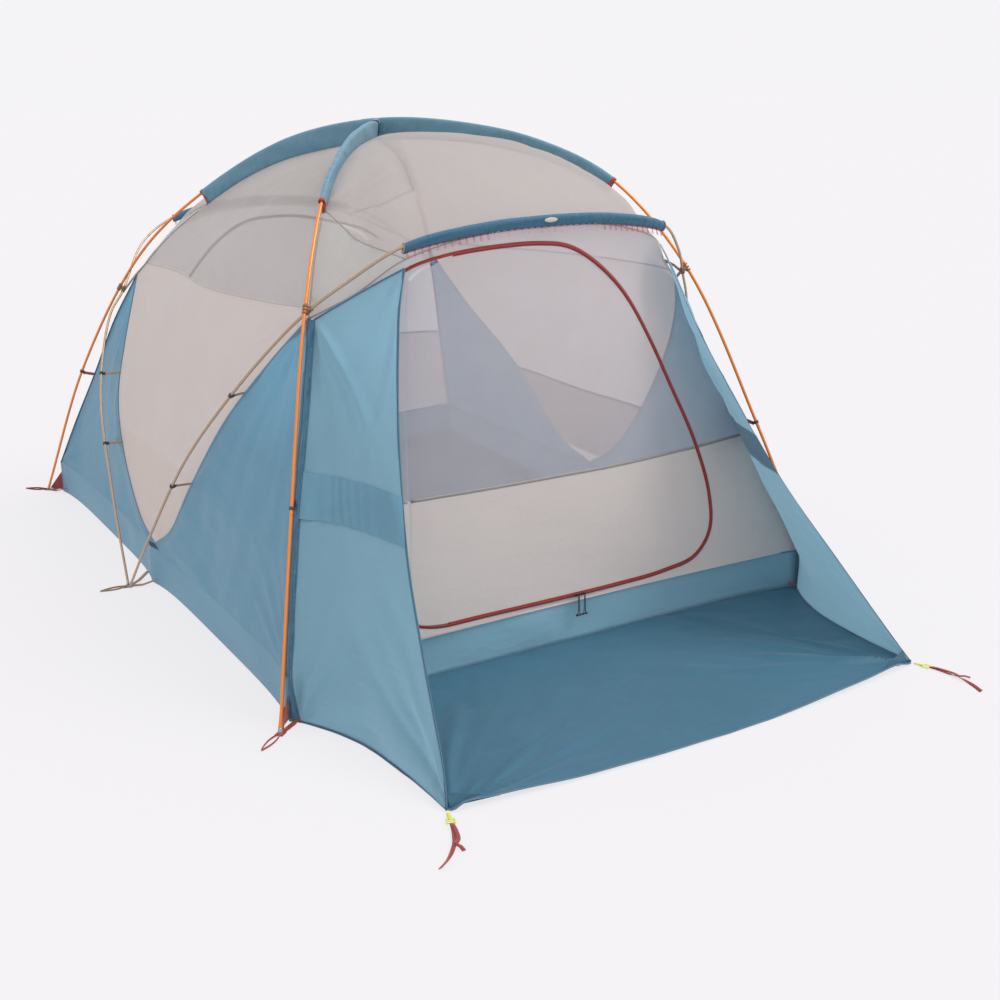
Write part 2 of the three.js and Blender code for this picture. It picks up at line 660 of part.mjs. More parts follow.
function addSleeves() {
  ALL_SIDES.forEach((side) => {
    ALL_ENDS.forEach((end) => {
      const curve = end === FRONT ? MAIN_POLE[side] : MAIN_POLE[-side];
      const share = { [FRONT]: 0.53, [BACK]: 0.452 }[end];
      const outer = nearest(curve, onDiagonal(side, end, [[share, end === FRONT ? 1690 : 1588]])[0]);
      const inner = nearest(curve, onDiagonal(side, end, [[0.036, PEAK]])[0]);
      const crease = ridge(side, end);
      const geometry = sleeve(curve, POLE_R, Math.min(inner, outer), Math.max(inner, outer), (t) => {
        const u = inner < outer ? lerp(inner, outer, t) : lerp(outer, inner, t);
        const point = curve.getPoint(u);
        return point.distanceTo(crease.getPoint(nearest(crease, point))) - SEAM - 3;
      }, 6);
      add(`ridge_sleeve_${END_NAME[end]}_${SIDE_NAME[side]}`, geometry, BLUE);
    });
  });
  ALL_ENDS.forEach((end) => {
    const curve = BROW_CURVE[end];
    const half = end === FRONT ? v3(565, -1330, 1563) : v3(494, 1430, 1410);
    const from = nearest(curve, v3(-half.x, half.y, half.z));
    const to = nearest(curve, half);
    add(`brow_sleeve_${END_NAME[end]}`, sleeve(curve, BROW_R, from, to, () => HEM_DROP, 8), DEEP_BLUE);
  });
}

// ---------------------------------------------------------------- clips and hubs
/** Snap clip round a pole with a webbing tab that runs to the seam it holds. */
function clip(curve, poleRadius, at, target, width) {
  const { centre, tangent } = onPole(curve, at);
  const hint = v3(0.3, 0.2, 0.93);
  const ends = (half) => [-half, half].map((h) => centre.clone().addScaledVector(tangent, h));
  const ring = rod(...ends(9), poleRadius + 4, 8, hint);
  const toSeam = target.clone().sub(centre);
  const stop = centre.clone().addScaledVector(toSeam, 1 - 7 / toSeam.length());
  const tab = bar(centre, stop, width, 2.4, tangent.clone().cross(toSeam).normalize());
  return cut(join(ring, tab), poleSolid(curve, poleRadius + CLIP_CLEAR));
}

function addClips() {
  ALL_SIDES.forEach((side) => {
    ALL_ENDS.forEach((end) => {
      const name = `${END_NAME[end]}_${SIDE_NAME[side]}`;
      const pole = end === FRONT ? MAIN_POLE[side] : MAIN_POLE[-side];
      const seamHeight = { [FRONT]: 709, [BACK]: 674 }[end];
      const seam = leg(side, end);
      const hold = seam.getPoint(nearest(seam, onDiagonal(side, end, [[0.82, seamHeight]])[0]));
      const outward = v3(side * FOOT_X, end * FOOT_Y, 0).normalize();
      const at = nearest(pole, hold.clone().addScaledVector(outward, 60));
      add(`leg_clip_${name}`, clip(pole, POLE_R, at, hold, 14), RED, 0.6);
      const brow = BROW_CURVE[end];
      const crease = sideCrease(side, end);
      [['lower', 0.42], ['upper', 0.7]].forEach(([level, t]) => {
        const point = crease.getPoint(t);
        const where = nearest(brow, point.clone().add(v3(side * 60, 0, 0)));
        add(`brow_clip_${level}_${name}`, clip(brow, BROW_R, where, point, 12), BRONZE_WEB, 0.7);
      });
    });
  });
}

/** Hub that snaps over both poles where they cross, tied to the canopy's corner. */
function addHubs() {
  ALL_SIDES.forEach((side) => {
    ALL_ENDS.forEach((end) => {
      const main = end === FRONT ? MAIN_POLE[side] : MAIN_POLE[-side];
      const brow = BROW_CURVE[end];
      let best = [0, 0, Infinity];
      range(241).forEach((i) => {
        const t = i / 240;
        const p = brow.getPoint(t);
        if (Math.sign(p.x) !== side || p.z < 700) return;
        const m = nearest(main, p);
        const d = main.getPoint(m).distanceTo(p);
        if (d < best[2]) best = [m, t, d];
      });
      const [m, b] = best;
      const { centre: onMain, tangent: mainRun } = onPole(main, m);
      const { centre: onBrow, tangent: browRun } = onPole(brow, b);
      const hint = v3(0.25, 0.31, 0.92);
      const along = (run, centre) => [-20, 20].map((h) => centre.clone().addScaledVector(run, h));
      const hold = ridge(side, end).getPoint(0);
      const toSeam = hold.clone().sub(onBrow);
      const stop = onBrow.clone().addScaledVector(toSeam, 1 - 9 / toSeam.length());
      const body = cut(
        join(
          rod(...along(mainRun, onMain), POLE_R + 5, 8, hint),
          rod(...along(browRun, onBrow), BROW_R + 5, 8, hint),
          bar(onBrow, stop, 16, 2.4, mainRun.clone().cross(toSeam).normalize()),
        ),
        poleSolid(main, POLE_R + CLIP_CLEAR),
        poleSolid(brow, BROW_R + CLIP_CLEAR),
      );
      add(`pole_hub_${END_NAME[end]}_${SIDE_NAME[side]}`, body, BRONZE_WEB, 0.6);
    });
  });
}

// ---------------------------------------------------------------- feet
/** Corner webbing: two straps from the tub to a grommet plate under the pole foot, and a stake loop. */
function footWebbing(foot, anchors, outward, poles) {
  const z = 2.2;
  const centre = v3(foot.x, foot.y, z);
  const plateRadius = 17 + 12 * (poles.length - 1);
  const plate = rod(v3(foot.x, foot.y, 0.6), v3(foot.x, foot.y, 3.6), plateRadius, 10, v3(1, 0, 0));
  const straps = anchors.map((p) => bar(v3(p.x, p.y, z), centre, 16, 2, v3(0, 0, 1)));
  const side = v3(-outward.y, outward.x, 0);
  const loopLength = 118;
  const loop = smooth(range(9).map((i) => {
    const angle = Math.PI * (1 - i / 4) * 0.9;
    const reach = 8 + (loopLength / 2) * (1 + Math.cos(angle));
    const spread = 13 * Math.sin(angle);
    return centre.clone().addScaledVector(outward, reach).addScaledVector(side, spread);
  }));
  const tape = sweep(loop, [[-1.4, -1.2], [1.4, -1.2], [1.4, 7], [-1.4, 7]], 10, { hint: v3(0, 0, 1) });
  return cut(join(plate, ...straps, tape), ...poles);
}

function addFeet() {
  ALL_SIDES.forEach((side) => {
    ALL_ENDS.forEach((end) => {
      const foot = v3(side * FOOT_X, end * FOOT_Y, 0);
      const outward = v3(side * 0.78, end * 0.62, 0);
      const anchors = [
        v3(side * (CORNER_X + 6), end * (CORNER_Y - 62), 0),
        v3(side * (CORNER_X - 62), end * (CORNER_Y + 10), 0),
      ];
      const pole = end === FRONT ? MAIN_POLE[side] : MAIN_POLE[-side];
      const geometry = footWebbing(foot, anchors, outward, [poleSolid(pole, POLE_R + 0.8)]);
      add(`foot_webbing_${END_NAME[end]}_${SIDE_NAME[side]}`, geometry, RED, 0.85);
    });
    const foot = v3(side * MID_FOOT_X, 0, 0);
    const anchors = [v3(side * 1184, -70, 0), v3(side * 1184, 70, 0)];
    const poles = ALL_ENDS.map((end) => poleSolid(BROW_CURVE[end], BROW_R + 0.8));
    add(`foot_webbing_middle_${SIDE_NAME[side]}`,
      footWebbing(foot, anchors, v3(side, 0, 0), poles), BRONZE_WEB, 0.85);
  });
}

// ---------------------------------------------------------------- porch
const HEM = [[1150, 1578], [1092, 1680], [1034, 1840], [1004, 2084], [PORCH_HALF, PORCH_FRONT - 22]];
// Front edges of the porch's sides from the brow to the stake; the left one hangs slack, drawn in to its leg.
const FREE_EDGE = {
  [LEFT]: [[560, 1322, 1486], [611, 1376, 1367], [660, 1448, 1198], [726, 1566, 987],
    [829, 1806, 626], [903, 2050, 349], [969, 2287, 90], [PORCH_HALF, PORCH_FRONT - 22, 6]],
  [RIGHT]: [[560, 1322, 1486], [582, 1398, 1367], [617, 1480, 1198], [672, 1607, 987],
    [775, 1847, 626], [873, 2073, 349], [965, 2290, 90], [PORCH_HALF, PORCH_FRONT - 22, 6]],
};

function addPorch() {
  const hemHeight = 6;
  const floorGap = 22; // the porch floor stops this far inside the side panels
  const floorHeight = 1.7;
  const bow = 62; // how far the front edge of the porch floor bows forward
  ALL_SIDES.forEach((side) => {
    const hem = smooth(HEM.map(([x, out]) => v3(side * x, -out, hemHeight)));
    const free = smooth(placed(side, FRONT, FREE_EDGE[side]).reverse());
    const forward = v3(-side * 10, -26, 0);
    const seam = smooth([
      v3(side * HEM[0][0], -HEM[0][1], hemHeight),
      ...leg(side, FRONT).getPoints(8).map((p) => p.clone().add(forward)),
    ]);
    const headPoints = browCrease(side, FRONT).getPoints(24).filter((p) => Math.abs(p.x) > 585);
    const head = smooth([
      seam.getPoint(1),
      ...headPoints.slice(2).map((p) => p.clone().add(v3(0, -22, -16))),
      free.getPoint(1),
    ]);
    const grid = coons(hem, head, seam, free, 8, 6);
    add(`porch_side_${SIDE_NAME[side]}`, shell(inset(grid, [0, SEAM, SEAM, 0])), PORCH_BLUE);
  });
  const front = smooth([-1, -0.5, 0, 0.5, 1].map((u) => (
    v3(u * (PORCH_HALF - floorGap), -(PORCH_FRONT + bow * (1 - u * u)) + 14, floorHeight))));
  const back = smooth(range(9).map((i) => {
    const u = (i - 4) / 4;
    return tubEndPoint(Math.sign(u) || 1, FRONT, Math.abs(u) * 0.93, floorHeight).add(v3(0, -14, 0));
  }));
  const edge = (side) => smooth([
    back.getPoint(side === LEFT ? 0 : 1),
    ...HEM.slice(1, -1).map(([x, out]) => v3(side * (x - floorGap), -out, floorHeight)),
    front.getPoint(side === LEFT ? 0 : 1),
  ]);
  add('porch_floor', shell(coons(back, front, edge(LEFT), edge(RIGHT), 3, 8)), DEEP_BLUE);
}

/** Ladder lock on a yellow loop at each porch corner, and the stake strap threaded through it. */
function addPorchStakes() {
  ALL_SIDES.forEach((side) => {
    const corner = v3(side * (PORCH_HALF + 2), -(PORCH_FRONT - 10), 5);
    const turn = { [LEFT]: [-0.32, -0.95], [RIGHT]: [0.32, -0.95] }[side];
    const ahead = v3(turn[0], turn[1], 0);
    const beside = v3(-ahead.y, ahead.x, 0);
    const at = (along, across, z = 5) => corner.clone()
      .addScaledVector(ahead, along).addScaledVector(beside, across).setZ(z);
    const frame = join(
      bar(at(8, 0), at(38, 0), 12, 1.8),
      bar(at(36, -13), at(36, 13), 5, 5),
      bar(at(58, -13), at(58, 13), 5, 5),
      bar(at(47, -13), at(47, 13), 4, 4),
      bar(at(34, -12), at(60, -12), 4, 6),
      bar(at(34, 12), at(60, 12), 4, 6),
    );
    add(`porch_ladder_lock_${SIDE_NAME[side]}`, frame, YELLOW, 0.6);
    const path = smooth([
      at(63, 0, 5), at(90, -1, 4.6), at(135, -6, 4.4),
      at(190, -18, 4.4), at(245, -44, 4.4), at(290, -78, 4.4),
    ]);
    const tape = [[-5, -1], [-4, -1.3], [4, -1.3], [5, -1], [5, 1], [4, 1.3], [-4, 1.3], [-5, 1]];
    add(`porch_stake_strap_${SIDE_NAME[side]}`, sweep(path, tape, 12), RED, 0.85);
  });
}

addTub();
addSidePanels();
addRoof();
ALL_ENDS.forEach(addEndWall);
addSleeves();
addPoles();
addHubs();
addClips();
addFeet();
addPorch();
addPorchStakes();

export default tent;
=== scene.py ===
"""Looks of the dome tent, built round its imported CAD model.

Metres, in the CAD model's frame: +X right and -Y front as seen from in front of the porch, +Z up.
"""

import math

import bmesh
import bpy
import numpy as np
from mathutils import Matrix, Vector


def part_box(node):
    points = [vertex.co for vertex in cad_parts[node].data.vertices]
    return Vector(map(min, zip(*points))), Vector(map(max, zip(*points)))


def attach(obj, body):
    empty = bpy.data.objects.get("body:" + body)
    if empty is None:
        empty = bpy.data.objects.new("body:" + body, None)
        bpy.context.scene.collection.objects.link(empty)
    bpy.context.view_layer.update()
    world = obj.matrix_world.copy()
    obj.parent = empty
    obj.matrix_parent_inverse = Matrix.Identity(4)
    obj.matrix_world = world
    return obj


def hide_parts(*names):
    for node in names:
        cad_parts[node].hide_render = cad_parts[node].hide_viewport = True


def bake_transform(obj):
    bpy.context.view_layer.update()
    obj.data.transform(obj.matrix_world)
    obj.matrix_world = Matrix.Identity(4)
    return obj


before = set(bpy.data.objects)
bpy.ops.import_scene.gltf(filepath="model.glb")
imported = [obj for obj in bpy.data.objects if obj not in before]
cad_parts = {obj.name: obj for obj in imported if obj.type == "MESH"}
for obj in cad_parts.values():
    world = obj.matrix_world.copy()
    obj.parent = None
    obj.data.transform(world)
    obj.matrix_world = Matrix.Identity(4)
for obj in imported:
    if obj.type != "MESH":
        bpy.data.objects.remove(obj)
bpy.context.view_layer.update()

# ---------------------------------------------------------------- driving dimensions, from the frame
LEFT, RIGHT = -1, 1
FRONT, BACK = -1, 1
SIDES = {LEFT: "left", RIGHT: "right"}
ENDS = {FRONT: "front", BACK: "back"}
UP = np.array([0.0, 0.0, 1.0])

TUB_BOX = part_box("tub_floor")
CORNER_X, CORNER_Y = TUB_BOX[1].x, TUB_BOX[1].y
TUB_WALL = TUB_BOX[1].z + 0.005
TUB_HALF_WIDTH = CORNER_X - 0.033
TUB_HALF_LENGTH = CORNER_Y - 0.051
POLE_R, BROW_R = 0.00625, 0.0055
FOOT_X = 1.239
FOOT_Y = 1.623
PEAK = 1.918
CANOPY_PEAK = 1.850
POLE_LIFT = 0.007
PORCH_FRONT = 2.380
PORCH_HALF = 1.000
GROUND_CLOTH = 0.0015


def mm(rows):
    return np.array(rows, float) / 1000


# Heights along a diagonal, as [share of the way from the middle to the foot, height in mm].
POLE_PROFILE = {
    FRONT: [[0.2, 1905], [0.374, 1835], [0.53, 1690], [0.692, 1340], [0.85, 705], [1, 6]],
    BACK: [[0.223, 1828], [0.455, 1585], [0.642, 1283], [0.842, 701], [1, 6]],
}
RIDGE_CREASE = {
    FRONT: [[0.668, 1300], [0.6, 1500], [0.522, 1638], [0.415, 1752], [0.24, 1832], [0, 1850]],
    BACK: [[0.656, 1185], [0.56, 1372], [0.446, 1534], [0.345, 1654], [0.226, 1752], [0, 1850]],
}
LEG_CREASE = {
    FRONT: [[0.947, 165], [0.9, 400], [0.829, 709], [0.74, 1010], [0.668, 1300]],
    BACK: [[0.947, 165], [0.885, 400], [0.808, 674], [0.735, 950], [0.656, 1185]],
}
# Right half of each curve, as [x, distance forward or back, height] in mm.
BROW_POLE = {
    FRONT: [[1280, 15, 7], [1240, 265, 311], [1158, 635, 747], [979, 976, 1149], [846, 1108, 1327],
            [725, 1226, 1447], [565, 1330, 1563], [300, 1378, 1618], [0, 1388, 1631]],
    BACK: [[1280, 15, 7], [1228, 322, 309], [1132, 733, 704], [966, 1052, 1010], [872, 1141, 1099],
           [686, 1345, 1309], [494, 1430, 1410], [260, 1462, 1463], [0, 1470, 1478]],
}
SIDE_CREASE = {
    FRONT: [[1152, 12, 178], [1142, 230, 300], [1120, 460, 540], [1045, 745, 880], [940, 945, 1118],
            [828, 1084, 1300]],
    BACK: [[1152, -12, 178], [1142, 230, 250], [1115, 500, 490], [1060, 700, 680], [960, 880, 880],
           [813, 1065, 1185]],
}
BROW_CREASE = {
    FRONT: [[828, 1084, 1300], [690, 1185, 1388], [556, 1292, 1505], [370, 1336, 1566],
            [170, 1352, 1596], [0, 1356, 1603]],
    BACK: [[813, 1065, 1185], [660, 1235, 1275], [500, 1350, 1362], [300, 1410, 1418],
           [140, 1425, 1438], [0, 1428, 1443]],
}
# Doorway seen from outside, as [x, z] in mm: the hinge line, then the rim round to the hinge's foot.
DOOR = {
    FRONT: {
        "hinge": [[-672, 262], [-530, 1440], [-494, 1472]],
        "zip_head": [[-580, 1446], [-505, 1490]],
        "rim": [[-380, 1522], [-200, 1539], [-20, 1538], [95, 1520], [206, 1462], [378, 1312],
                [502, 1123], [600, 915], [690, 690], [738, 480], [726, 330], [640, 236], [480, 204],
                [250, 194], [-380, 196], [-560, 200], [-650, 222]],
    },
    BACK: {
        "hinge": [[-672, 262], [-560, 1230], [-518, 1276]],
        "zip_head": [[-605, 1240], [-530, 1290]],
        "rim": [[-380, 1336], [-200, 1372], [-20, 1378], [95, 1362], [206, 1312], [378, 1180],
                [502, 1030], [600, 860], [690, 670], [738, 480], [726, 330], [640, 236], [480, 204],
                [250, 194], [-380, 196], [-560, 200], [-650, 222]],
    },
}
SHEER_FOOT, SHEER_SLOPE = 1.29, 0.043  # the side panels are sheer above a seam that slopes to the back
POCKET_HEAD, POCKET_FOOT, POCKET_GAP = 0.58, 0.24, 0.008
BAND_HEAD, BAND_FOOT, BAND_SLOPE = 0.832, 0.682, 0.113  # pleated band across each porch side
SLEEVE_END = 0.42  # share of a roof seam, from the hub, where the gusset beside it ends
WALL_FOOT = 1.508
WALL_HEAD = {FRONT: 1.356, BACK: 1.428}
MESH_FOOT = 0.670  # the end walls are closed cloth below this height and mesh above it
HEM = [[1150, 1578], [1092, 1680], [1034, 1840], [1004, 2084], [1000, 2358]]
FREE_EDGE = {
    LEFT: [[560, 1322, 1486], [611, 1376, 1367], [660, 1448, 1198], [726, 1566, 987],
           [829, 1806, 626], [903, 2050, 349], [969, 2287, 90], [1000, 2358, 6]],
    RIGHT: [[560, 1322, 1486], [582, 1398, 1367], [617, 1480, 1198], [672, 1607, 987],
            [775, 1847, 626], [873, 2073, 349], [965, 2290, 90], [1000, 2358, 6]],
}

# ---------------------------------------------------------------- camera, floor and light
CAMERA_AZIMUTH = math.radians(-30.943)
CAMERA_HEIGHT = math.radians(18.173)
CAMERA_ROLL = math.radians(-0.523)
CAMERA_AT = Vector((-2.703, -5.532, 2.180))
LENS_MM = 48.445
FLOOR_GREY = (0.12, 0.117, 0.121, 1)
FLOOR_GLOW = 0.748


def add_camera():
    data = bpy.data.cameras.new("camera")
    data.lens = LENS_MM
    data.sensor_width = 36
    camera = bpy.data.objects.new("camera", data)
    bpy.context.scene.collection.objects.link(camera)
    a, e = CAMERA_AZIMUTH, CAMERA_HEIGHT
    back = Vector((math.sin(a) * math.cos(e), -math.cos(a) * math.cos(e), math.sin(e)))
    right = (-back).cross(Vector((0, 0, 1))).normalized()
    above = right.cross(-back)
    c, s = math.cos(CAMERA_ROLL), math.sin(CAMERA_ROLL)
    turned_right = right * c + above * s
    turned_above = above * c - right * s
    turn = Matrix((turned_right, turned_above, back)).transposed()
    camera.matrix_world = Matrix.Translation(CAMERA_AT) @ turn.to_4x4()
    bpy.context.scene.camera = camera


def add_stage():
    reach = 60
    mesh = bpy.data.meshes.new("floor")
    corners = [(-reach, -reach), (reach, -reach), (reach, reach), (-reach, reach)]
    mesh.from_pydata([(x, y, -0.001) for x, y in corners], [], [(0, 1, 2, 3)])
    floor = bpy.data.objects.new("floor", mesh)
    bpy.context.scene.collection.objects.link(floor)
    paint = bpy.data.materials.new("floor")
    paint.use_nodes = True
    shader = paint.node_tree.nodes["Principled BSDF"]
    shader.inputs["Base Color"].default_value = FLOOR_GREY
    shader.inputs["Emission Color"].default_value = (1.0, 0.985, 1.01, 1)
    shader.inputs["Emission Strength"].default_value = FLOOR_GLOW
    shader.inputs["Roughness"].default_value = 1.0
    shader.inputs["Specular IOR Level"].default_value = 0.0
    mesh.materials.append(paint)


def add_light():
    world = bpy.data.worlds.new("studio")
    world.use_nodes = True
    sky = world.node_tree.nodes["Background"]
    sky.inputs["Color"].default_value = (0.99, 0.975, 0.995, 1)
    sky.inputs["Strength"].default_value = 0.92
    bpy.context.scene.world = world
    for name, azimuth, height, strength, spread in (("key", 62, 50, 1.6, 34), ("fill", -40, 62, 0.35, 80)):
        data = bpy.data.lights.new(name, "SUN")
        data.energy = strength
        data.angle = math.radians(spread)
        lamp = bpy.data.objects.new(name, data)
        bpy.context.scene.collection.objects.link(lamp)
        a, e = math.radians(azimuth), math.radians(height)
        toward = Vector((math.sin(a) * math.cos(e), -math.cos(a) * math.cos(e), math.sin(e)))
        lamp.rotation_euler = toward.to_track_quat("Z", "Y").to_euler()


add_camera()
add_stage()
add_light()
bpy.context.scene.view_settings.view_transform = "Standard"


# ---------------------------------------------------------------- materials
def socket(value, tree, into):
    if isinstance(value, bpy.types.NodeSocket):
        tree.links.new(value, into)
    else:
        into.default_value = value


class Nodes:
    """Short names for the nodes the materials use."""

    def __init__(self, name):
        self.paint = bpy.data.materials.new(name)
        self.paint.use_nodes = True
        self.tree = self.paint.node_tree
        self.shader = self.tree.nodes["Principled BSDF"]
        self.out = self.tree.nodes["Material Output"]

    def node(self, kind, **settings):
        made = self.tree.nodes.new(kind)
        for key, value in settings.items():
            setattr(made, key, value)
        return made

    def math(self, operation, a, b=0.0, clamp=False):
        made = self.node("ShaderNodeMath", operation=operation, use_clamp=clamp)
        socket(a, self.tree, made.inputs[0])
        socket(b, self.tree, made.inputs[1])
        return made.outputs[0]

    def give(self, name, value):
        """Links a socket to one of the shader's inputs, or sets the input to a value."""
        socket(value, self.tree, self.shader.inputs[name])

    def place(self):
        return self.node("ShaderNodeTexCoord").outputs["UV"]

    def part(self, vector, axis):
        """One coordinate of a vector."""
        apart = self.node("ShaderNodeSeparateXYZ")
        self.tree.links.new(vector, apart.inputs[0])
        return apart.outputs[axis]

    def mixed(self, share, first, second):
        """Mix of two shaders."""
        made = self.node("ShaderNodeMixShader")
        socket(share, self.tree, made.inputs[0])
        self.tree.links.new(first.outputs[0], made.inputs[1])
        self.tree.links.new(second.outputs[0], made.inputs[2])
        return made

    def scaled(self, vector, scale):
        made = self.node("ShaderNodeMapping")
        self.tree.links.new(vector, made.inputs["Vector"])
        made.inputs["Scale"].default_value = scale
        return made.outputs[0]

    def noise(self, vector, scale, detail=2.0, rough=0.5):
        made = self.node("ShaderNodeTexNoise")
        self.tree.links.new(vector, made.inputs["Vector"])
        made.inputs["Scale"].default_value = scale
        made.inputs["Detail"].default_value = detail
        made.inputs["Roughness"].default_value = rough
        return made.outputs["Fac"]

    def wave(self, vector, scale, direction="X", distortion=0.0):
        made = self.node("ShaderNodeTexWave", bands_direction=direction)
        self.tree.links.new(vector, made.inputs["Vector"])
        made.inputs["Scale"].default_value = scale
        made.inputs["Distortion"].default_value = distortion
        return made.outputs["Fac"]

    def blend(self, share, a, b):
        made = self.node("ShaderNodeMix", data_type="RGBA")
        socket(share, self.tree, made.inputs["Factor"])
        socket(a, self.tree, made.inputs["A"])
        socket(b, self.tree, made.inputs["B"])
        return made.outputs["Result"]

    def bump(self, height, distance, strength=1.0, over=None):
        made = self.node("ShaderNodeBump")
        self.tree.links.new(height, made.inputs["Height"])
        made.inputs["Distance"].default_value = distance
        made.inputs["Strength"].default_value = strength
        if over is not None:
            self.tree.links.new(over, made.inputs["Normal"])
        return made.outputs["Normal"]

    def lines(self, vector, axis, pitch, share):
        """1 on thin lines `pitch` metres apart across a UV axis, 0 between them."""
        turn = self.math("MULTIPLY", self.part(vector, axis), 1 / pitch)
        return self.math("LESS_THAN", self.math("FRACT", turn), share)


def shade(colour, factor):
    return tuple(min(c * factor, 1.0) for c in colour[:3]) + (1.0,)


def linear(hexed):
    """Linear colour from an sRGB hex value."""
    parts = [((hexed >> s) & 255) / 255 for s in (16, 8, 0)]
    return tuple(p / 12.92 if p < 0.04045 else ((p + 0.055) / 1.055) ** 2.4 for p in parts) + (1.0,)


def cloth(name, hexed, cover=1.0, glow=0.25, rough=0.62, wrinkle=0.010, rip=0.0072, coat=0.0,
          crumple=5.0, ripstop=0.08, painted_light_by_height=None):
    """Woven cloth with a ripstop grid.

    cover is how much of it is thread and glow how much light it lets through. wrinkle is the depth of
    its creases and crumple how close they lie. fade is (height, height, factor): painted light and
    shade, the colour changes by the factor from the one height to the other.
    """
    n = Nodes(name)
    colour = linear(hexed)
    uv = n.place()
    grid = n.math("MAXIMUM", n.lines(uv, 0, rip, 0.1), n.lines(uv, 1, rip, 0.1))
    mottle = n.noise(uv, 2.2, 4.0, 0.6)
    fine = n.noise(uv, 60.0, 2.0)
    base = n.blend(mottle, shade(colour, 0.93), shade(colour, 1.06))
    base = n.blend(n.math("MULTIPLY", fine, 0.25), base, shade(colour, 0.9))
    base = n.blend(n.math("MULTIPLY", grid, ripstop), base, shade(colour, 0.72))
    # Painted light and shade: the colour changes by the factor from the one height to the other.
    if painted_light_by_height:
        low, high, factor = painted_light_by_height
        share = n.math("DIVIDE", n.math("SUBTRACT", n.part(uv, 1), low), high - low, clamp=True)
        base = n.blend(share, base, shade(colour, factor))
    weave = n.math("ADD", n.wave(uv, 900.0, "X"), n.wave(uv, 900.0, "Y"))
    folds = n.noise(n.scaled(uv, (1.0, 2.4, 1.0)), crumple, 3.0, 0.55)
    bent = n.noise(n.scaled(uv, (0.8, 1.7, 1.0)), 0.55 * crumple, 4.0, 0.5)
    off_middle = n.math("ABSOLUTE", n.math("SUBTRACT", bent, 0.5))
    sharp = n.math("POWER", n.math("SUBTRACT", 1.0, off_middle, clamp=True), 26.0)
    normal = n.bump(folds, wrinkle, 0.9)
    normal = n.bump(sharp, 0.2 * wrinkle, 0.7, normal)
    normal = n.bump(n.math("ADD", n.math("MULTIPLY", weave, 0.3), grid), 0.00025, 0.6, normal)
    n.give("Base Color", base)
    n.give("Normal", normal)
    roughness = n.math("ADD", n.math("MULTIPLY", mottle, 0.18), rough - 0.09)
    n.give("Roughness", roughness)
    n.give("Sheen Weight", 0.25)
    n.give("Sheen Roughness", 0.4)
    n.give("Specular IOR Level", 0.35)
    n.give("Coat Weight", coat)
    n.give("Coat Roughness", 0.35)
    through = n.node("ShaderNodeBsdfTranslucent")
    n.tree.links.new(base, through.inputs["Color"])
    n.tree.links.new(normal, through.inputs["Normal"])
    result = n.mixed(glow, n.shader, through)
    if cover < 1:
        clear = n.node("ShaderNodeBsdfTransparent")
        thread = n.math("ADD", n.math("MULTIPLY", grid, ripstop), n.math("MULTIPLY", n.noise(uv, 5.0), 0.1))
        share = n.math("ADD", thread, cover - 0.06, clamp=True)
        result = n.mixed(share, clear, result)
    n.tree.links.new(result.outputs[0], n.out.inputs["Surface"])
    return n.paint


STITCH_ROW = 0.0038  # from the middle of a tape to its rows of stitches
STITCH_HALF_WIDTH = 0.0005
STITCH_PITCH = 0.0042


def webbing(name, hexed, rough=0.75, pitch=0.0022, stitch=None):
    """Narrow woven tape: ribs across it, and a row of stitches along each edge where a colour is given."""
    n = Nodes(name)
    colour = linear(hexed)
    uv = n.place()
    ribs = n.wave(uv, 0.32 / pitch, "X")
    mottle = n.noise(uv, 25.0, 3.0)
    base = n.blend(mottle, shade(colour, 0.8), shade(colour, 1.12))
    base = n.blend(n.math("MULTIPLY", ribs, 0.25), base, shade(colour, 0.62))
    if stitch:
        from_middle = n.math("ABSOLUTE", n.part(uv, 1))
        off = n.math("ABSOLUTE", n.math("SUBTRACT", from_middle, STITCH_ROW))
        row = n.math("LESS_THAN", off, STITCH_HALF_WIDTH)
        dash = n.lines(uv, 0, STITCH_PITCH, 0.68)
        base = n.blend(n.math("MULTIPLY", row, dash), base, linear(stitch))
    n.give("Base Color", base)
    n.give("Normal", n.bump(ribs, 0.0003, 0.7))
    n.give("Roughness", n.math("ADD", n.math("MULTIPLY", mottle, 0.15), rough - 0.08))
    n.give("Sheen Weight", 0.3)
    return n.paint


def anodised(name, hexed, rough=0.3):
    """Drawn and anodised pole: fine lines along it, small scuffs and duller patches."""
    n = Nodes(name)
    colour = linear(hexed)
    uv = n.place()
    drawn = n.noise(n.scaled(uv, (6.0, 900.0, 1.0)), 1.0, 3.0)
    scuff = n.math("GREATER_THAN", n.noise(n.scaled(uv, (9.0, 160.0, 1.0)), 1.0, 5.0, 0.7), 0.66)
    base = n.blend(drawn, shade(colour, 0.92), shade(colour, 1.06))
    base = n.blend(n.math("MULTIPLY", scuff, 0.15), base, shade(colour, 0.7))
    n.give("Base Color", base)
    n.give("Roughness", n.math("ADD", n.math("MULTIPLY", drawn, 0.22), rough - 0.1))
    n.give("Normal", n.bump(drawn, 0.00012, 0.5))
    n.give("Metallic", 0.55)
    n.give("Coat Weight", 0.3)
    n.give("Coat Roughness", 0.18)
    return n.paint


def hard(name, hexed, rough=0.42, metallic=0.0):
    """Moulded plastic or painted metal with a fine grain and worn, lighter patches."""
    n = Nodes(name)
    colour = linear(hexed)
    at = n.node("ShaderNodeTexCoord").outputs["Object"]
    grain = n.noise(at, 900.0, 3.0)
    wear = n.noise(at, 120.0, 4.0, 0.65)
    base = n.blend(wear, shade(colour, 0.85), shade(colour, 1.2))
    n.give("Base Color", base)
    n.give("Roughness", n.math("ADD", n.math("MULTIPLY", wear, 0.25), rough - 0.12))
    n.give("Normal", n.bump(grain, 0.00015, 0.5))
    n.give("Metallic", metallic)
    return n.paint


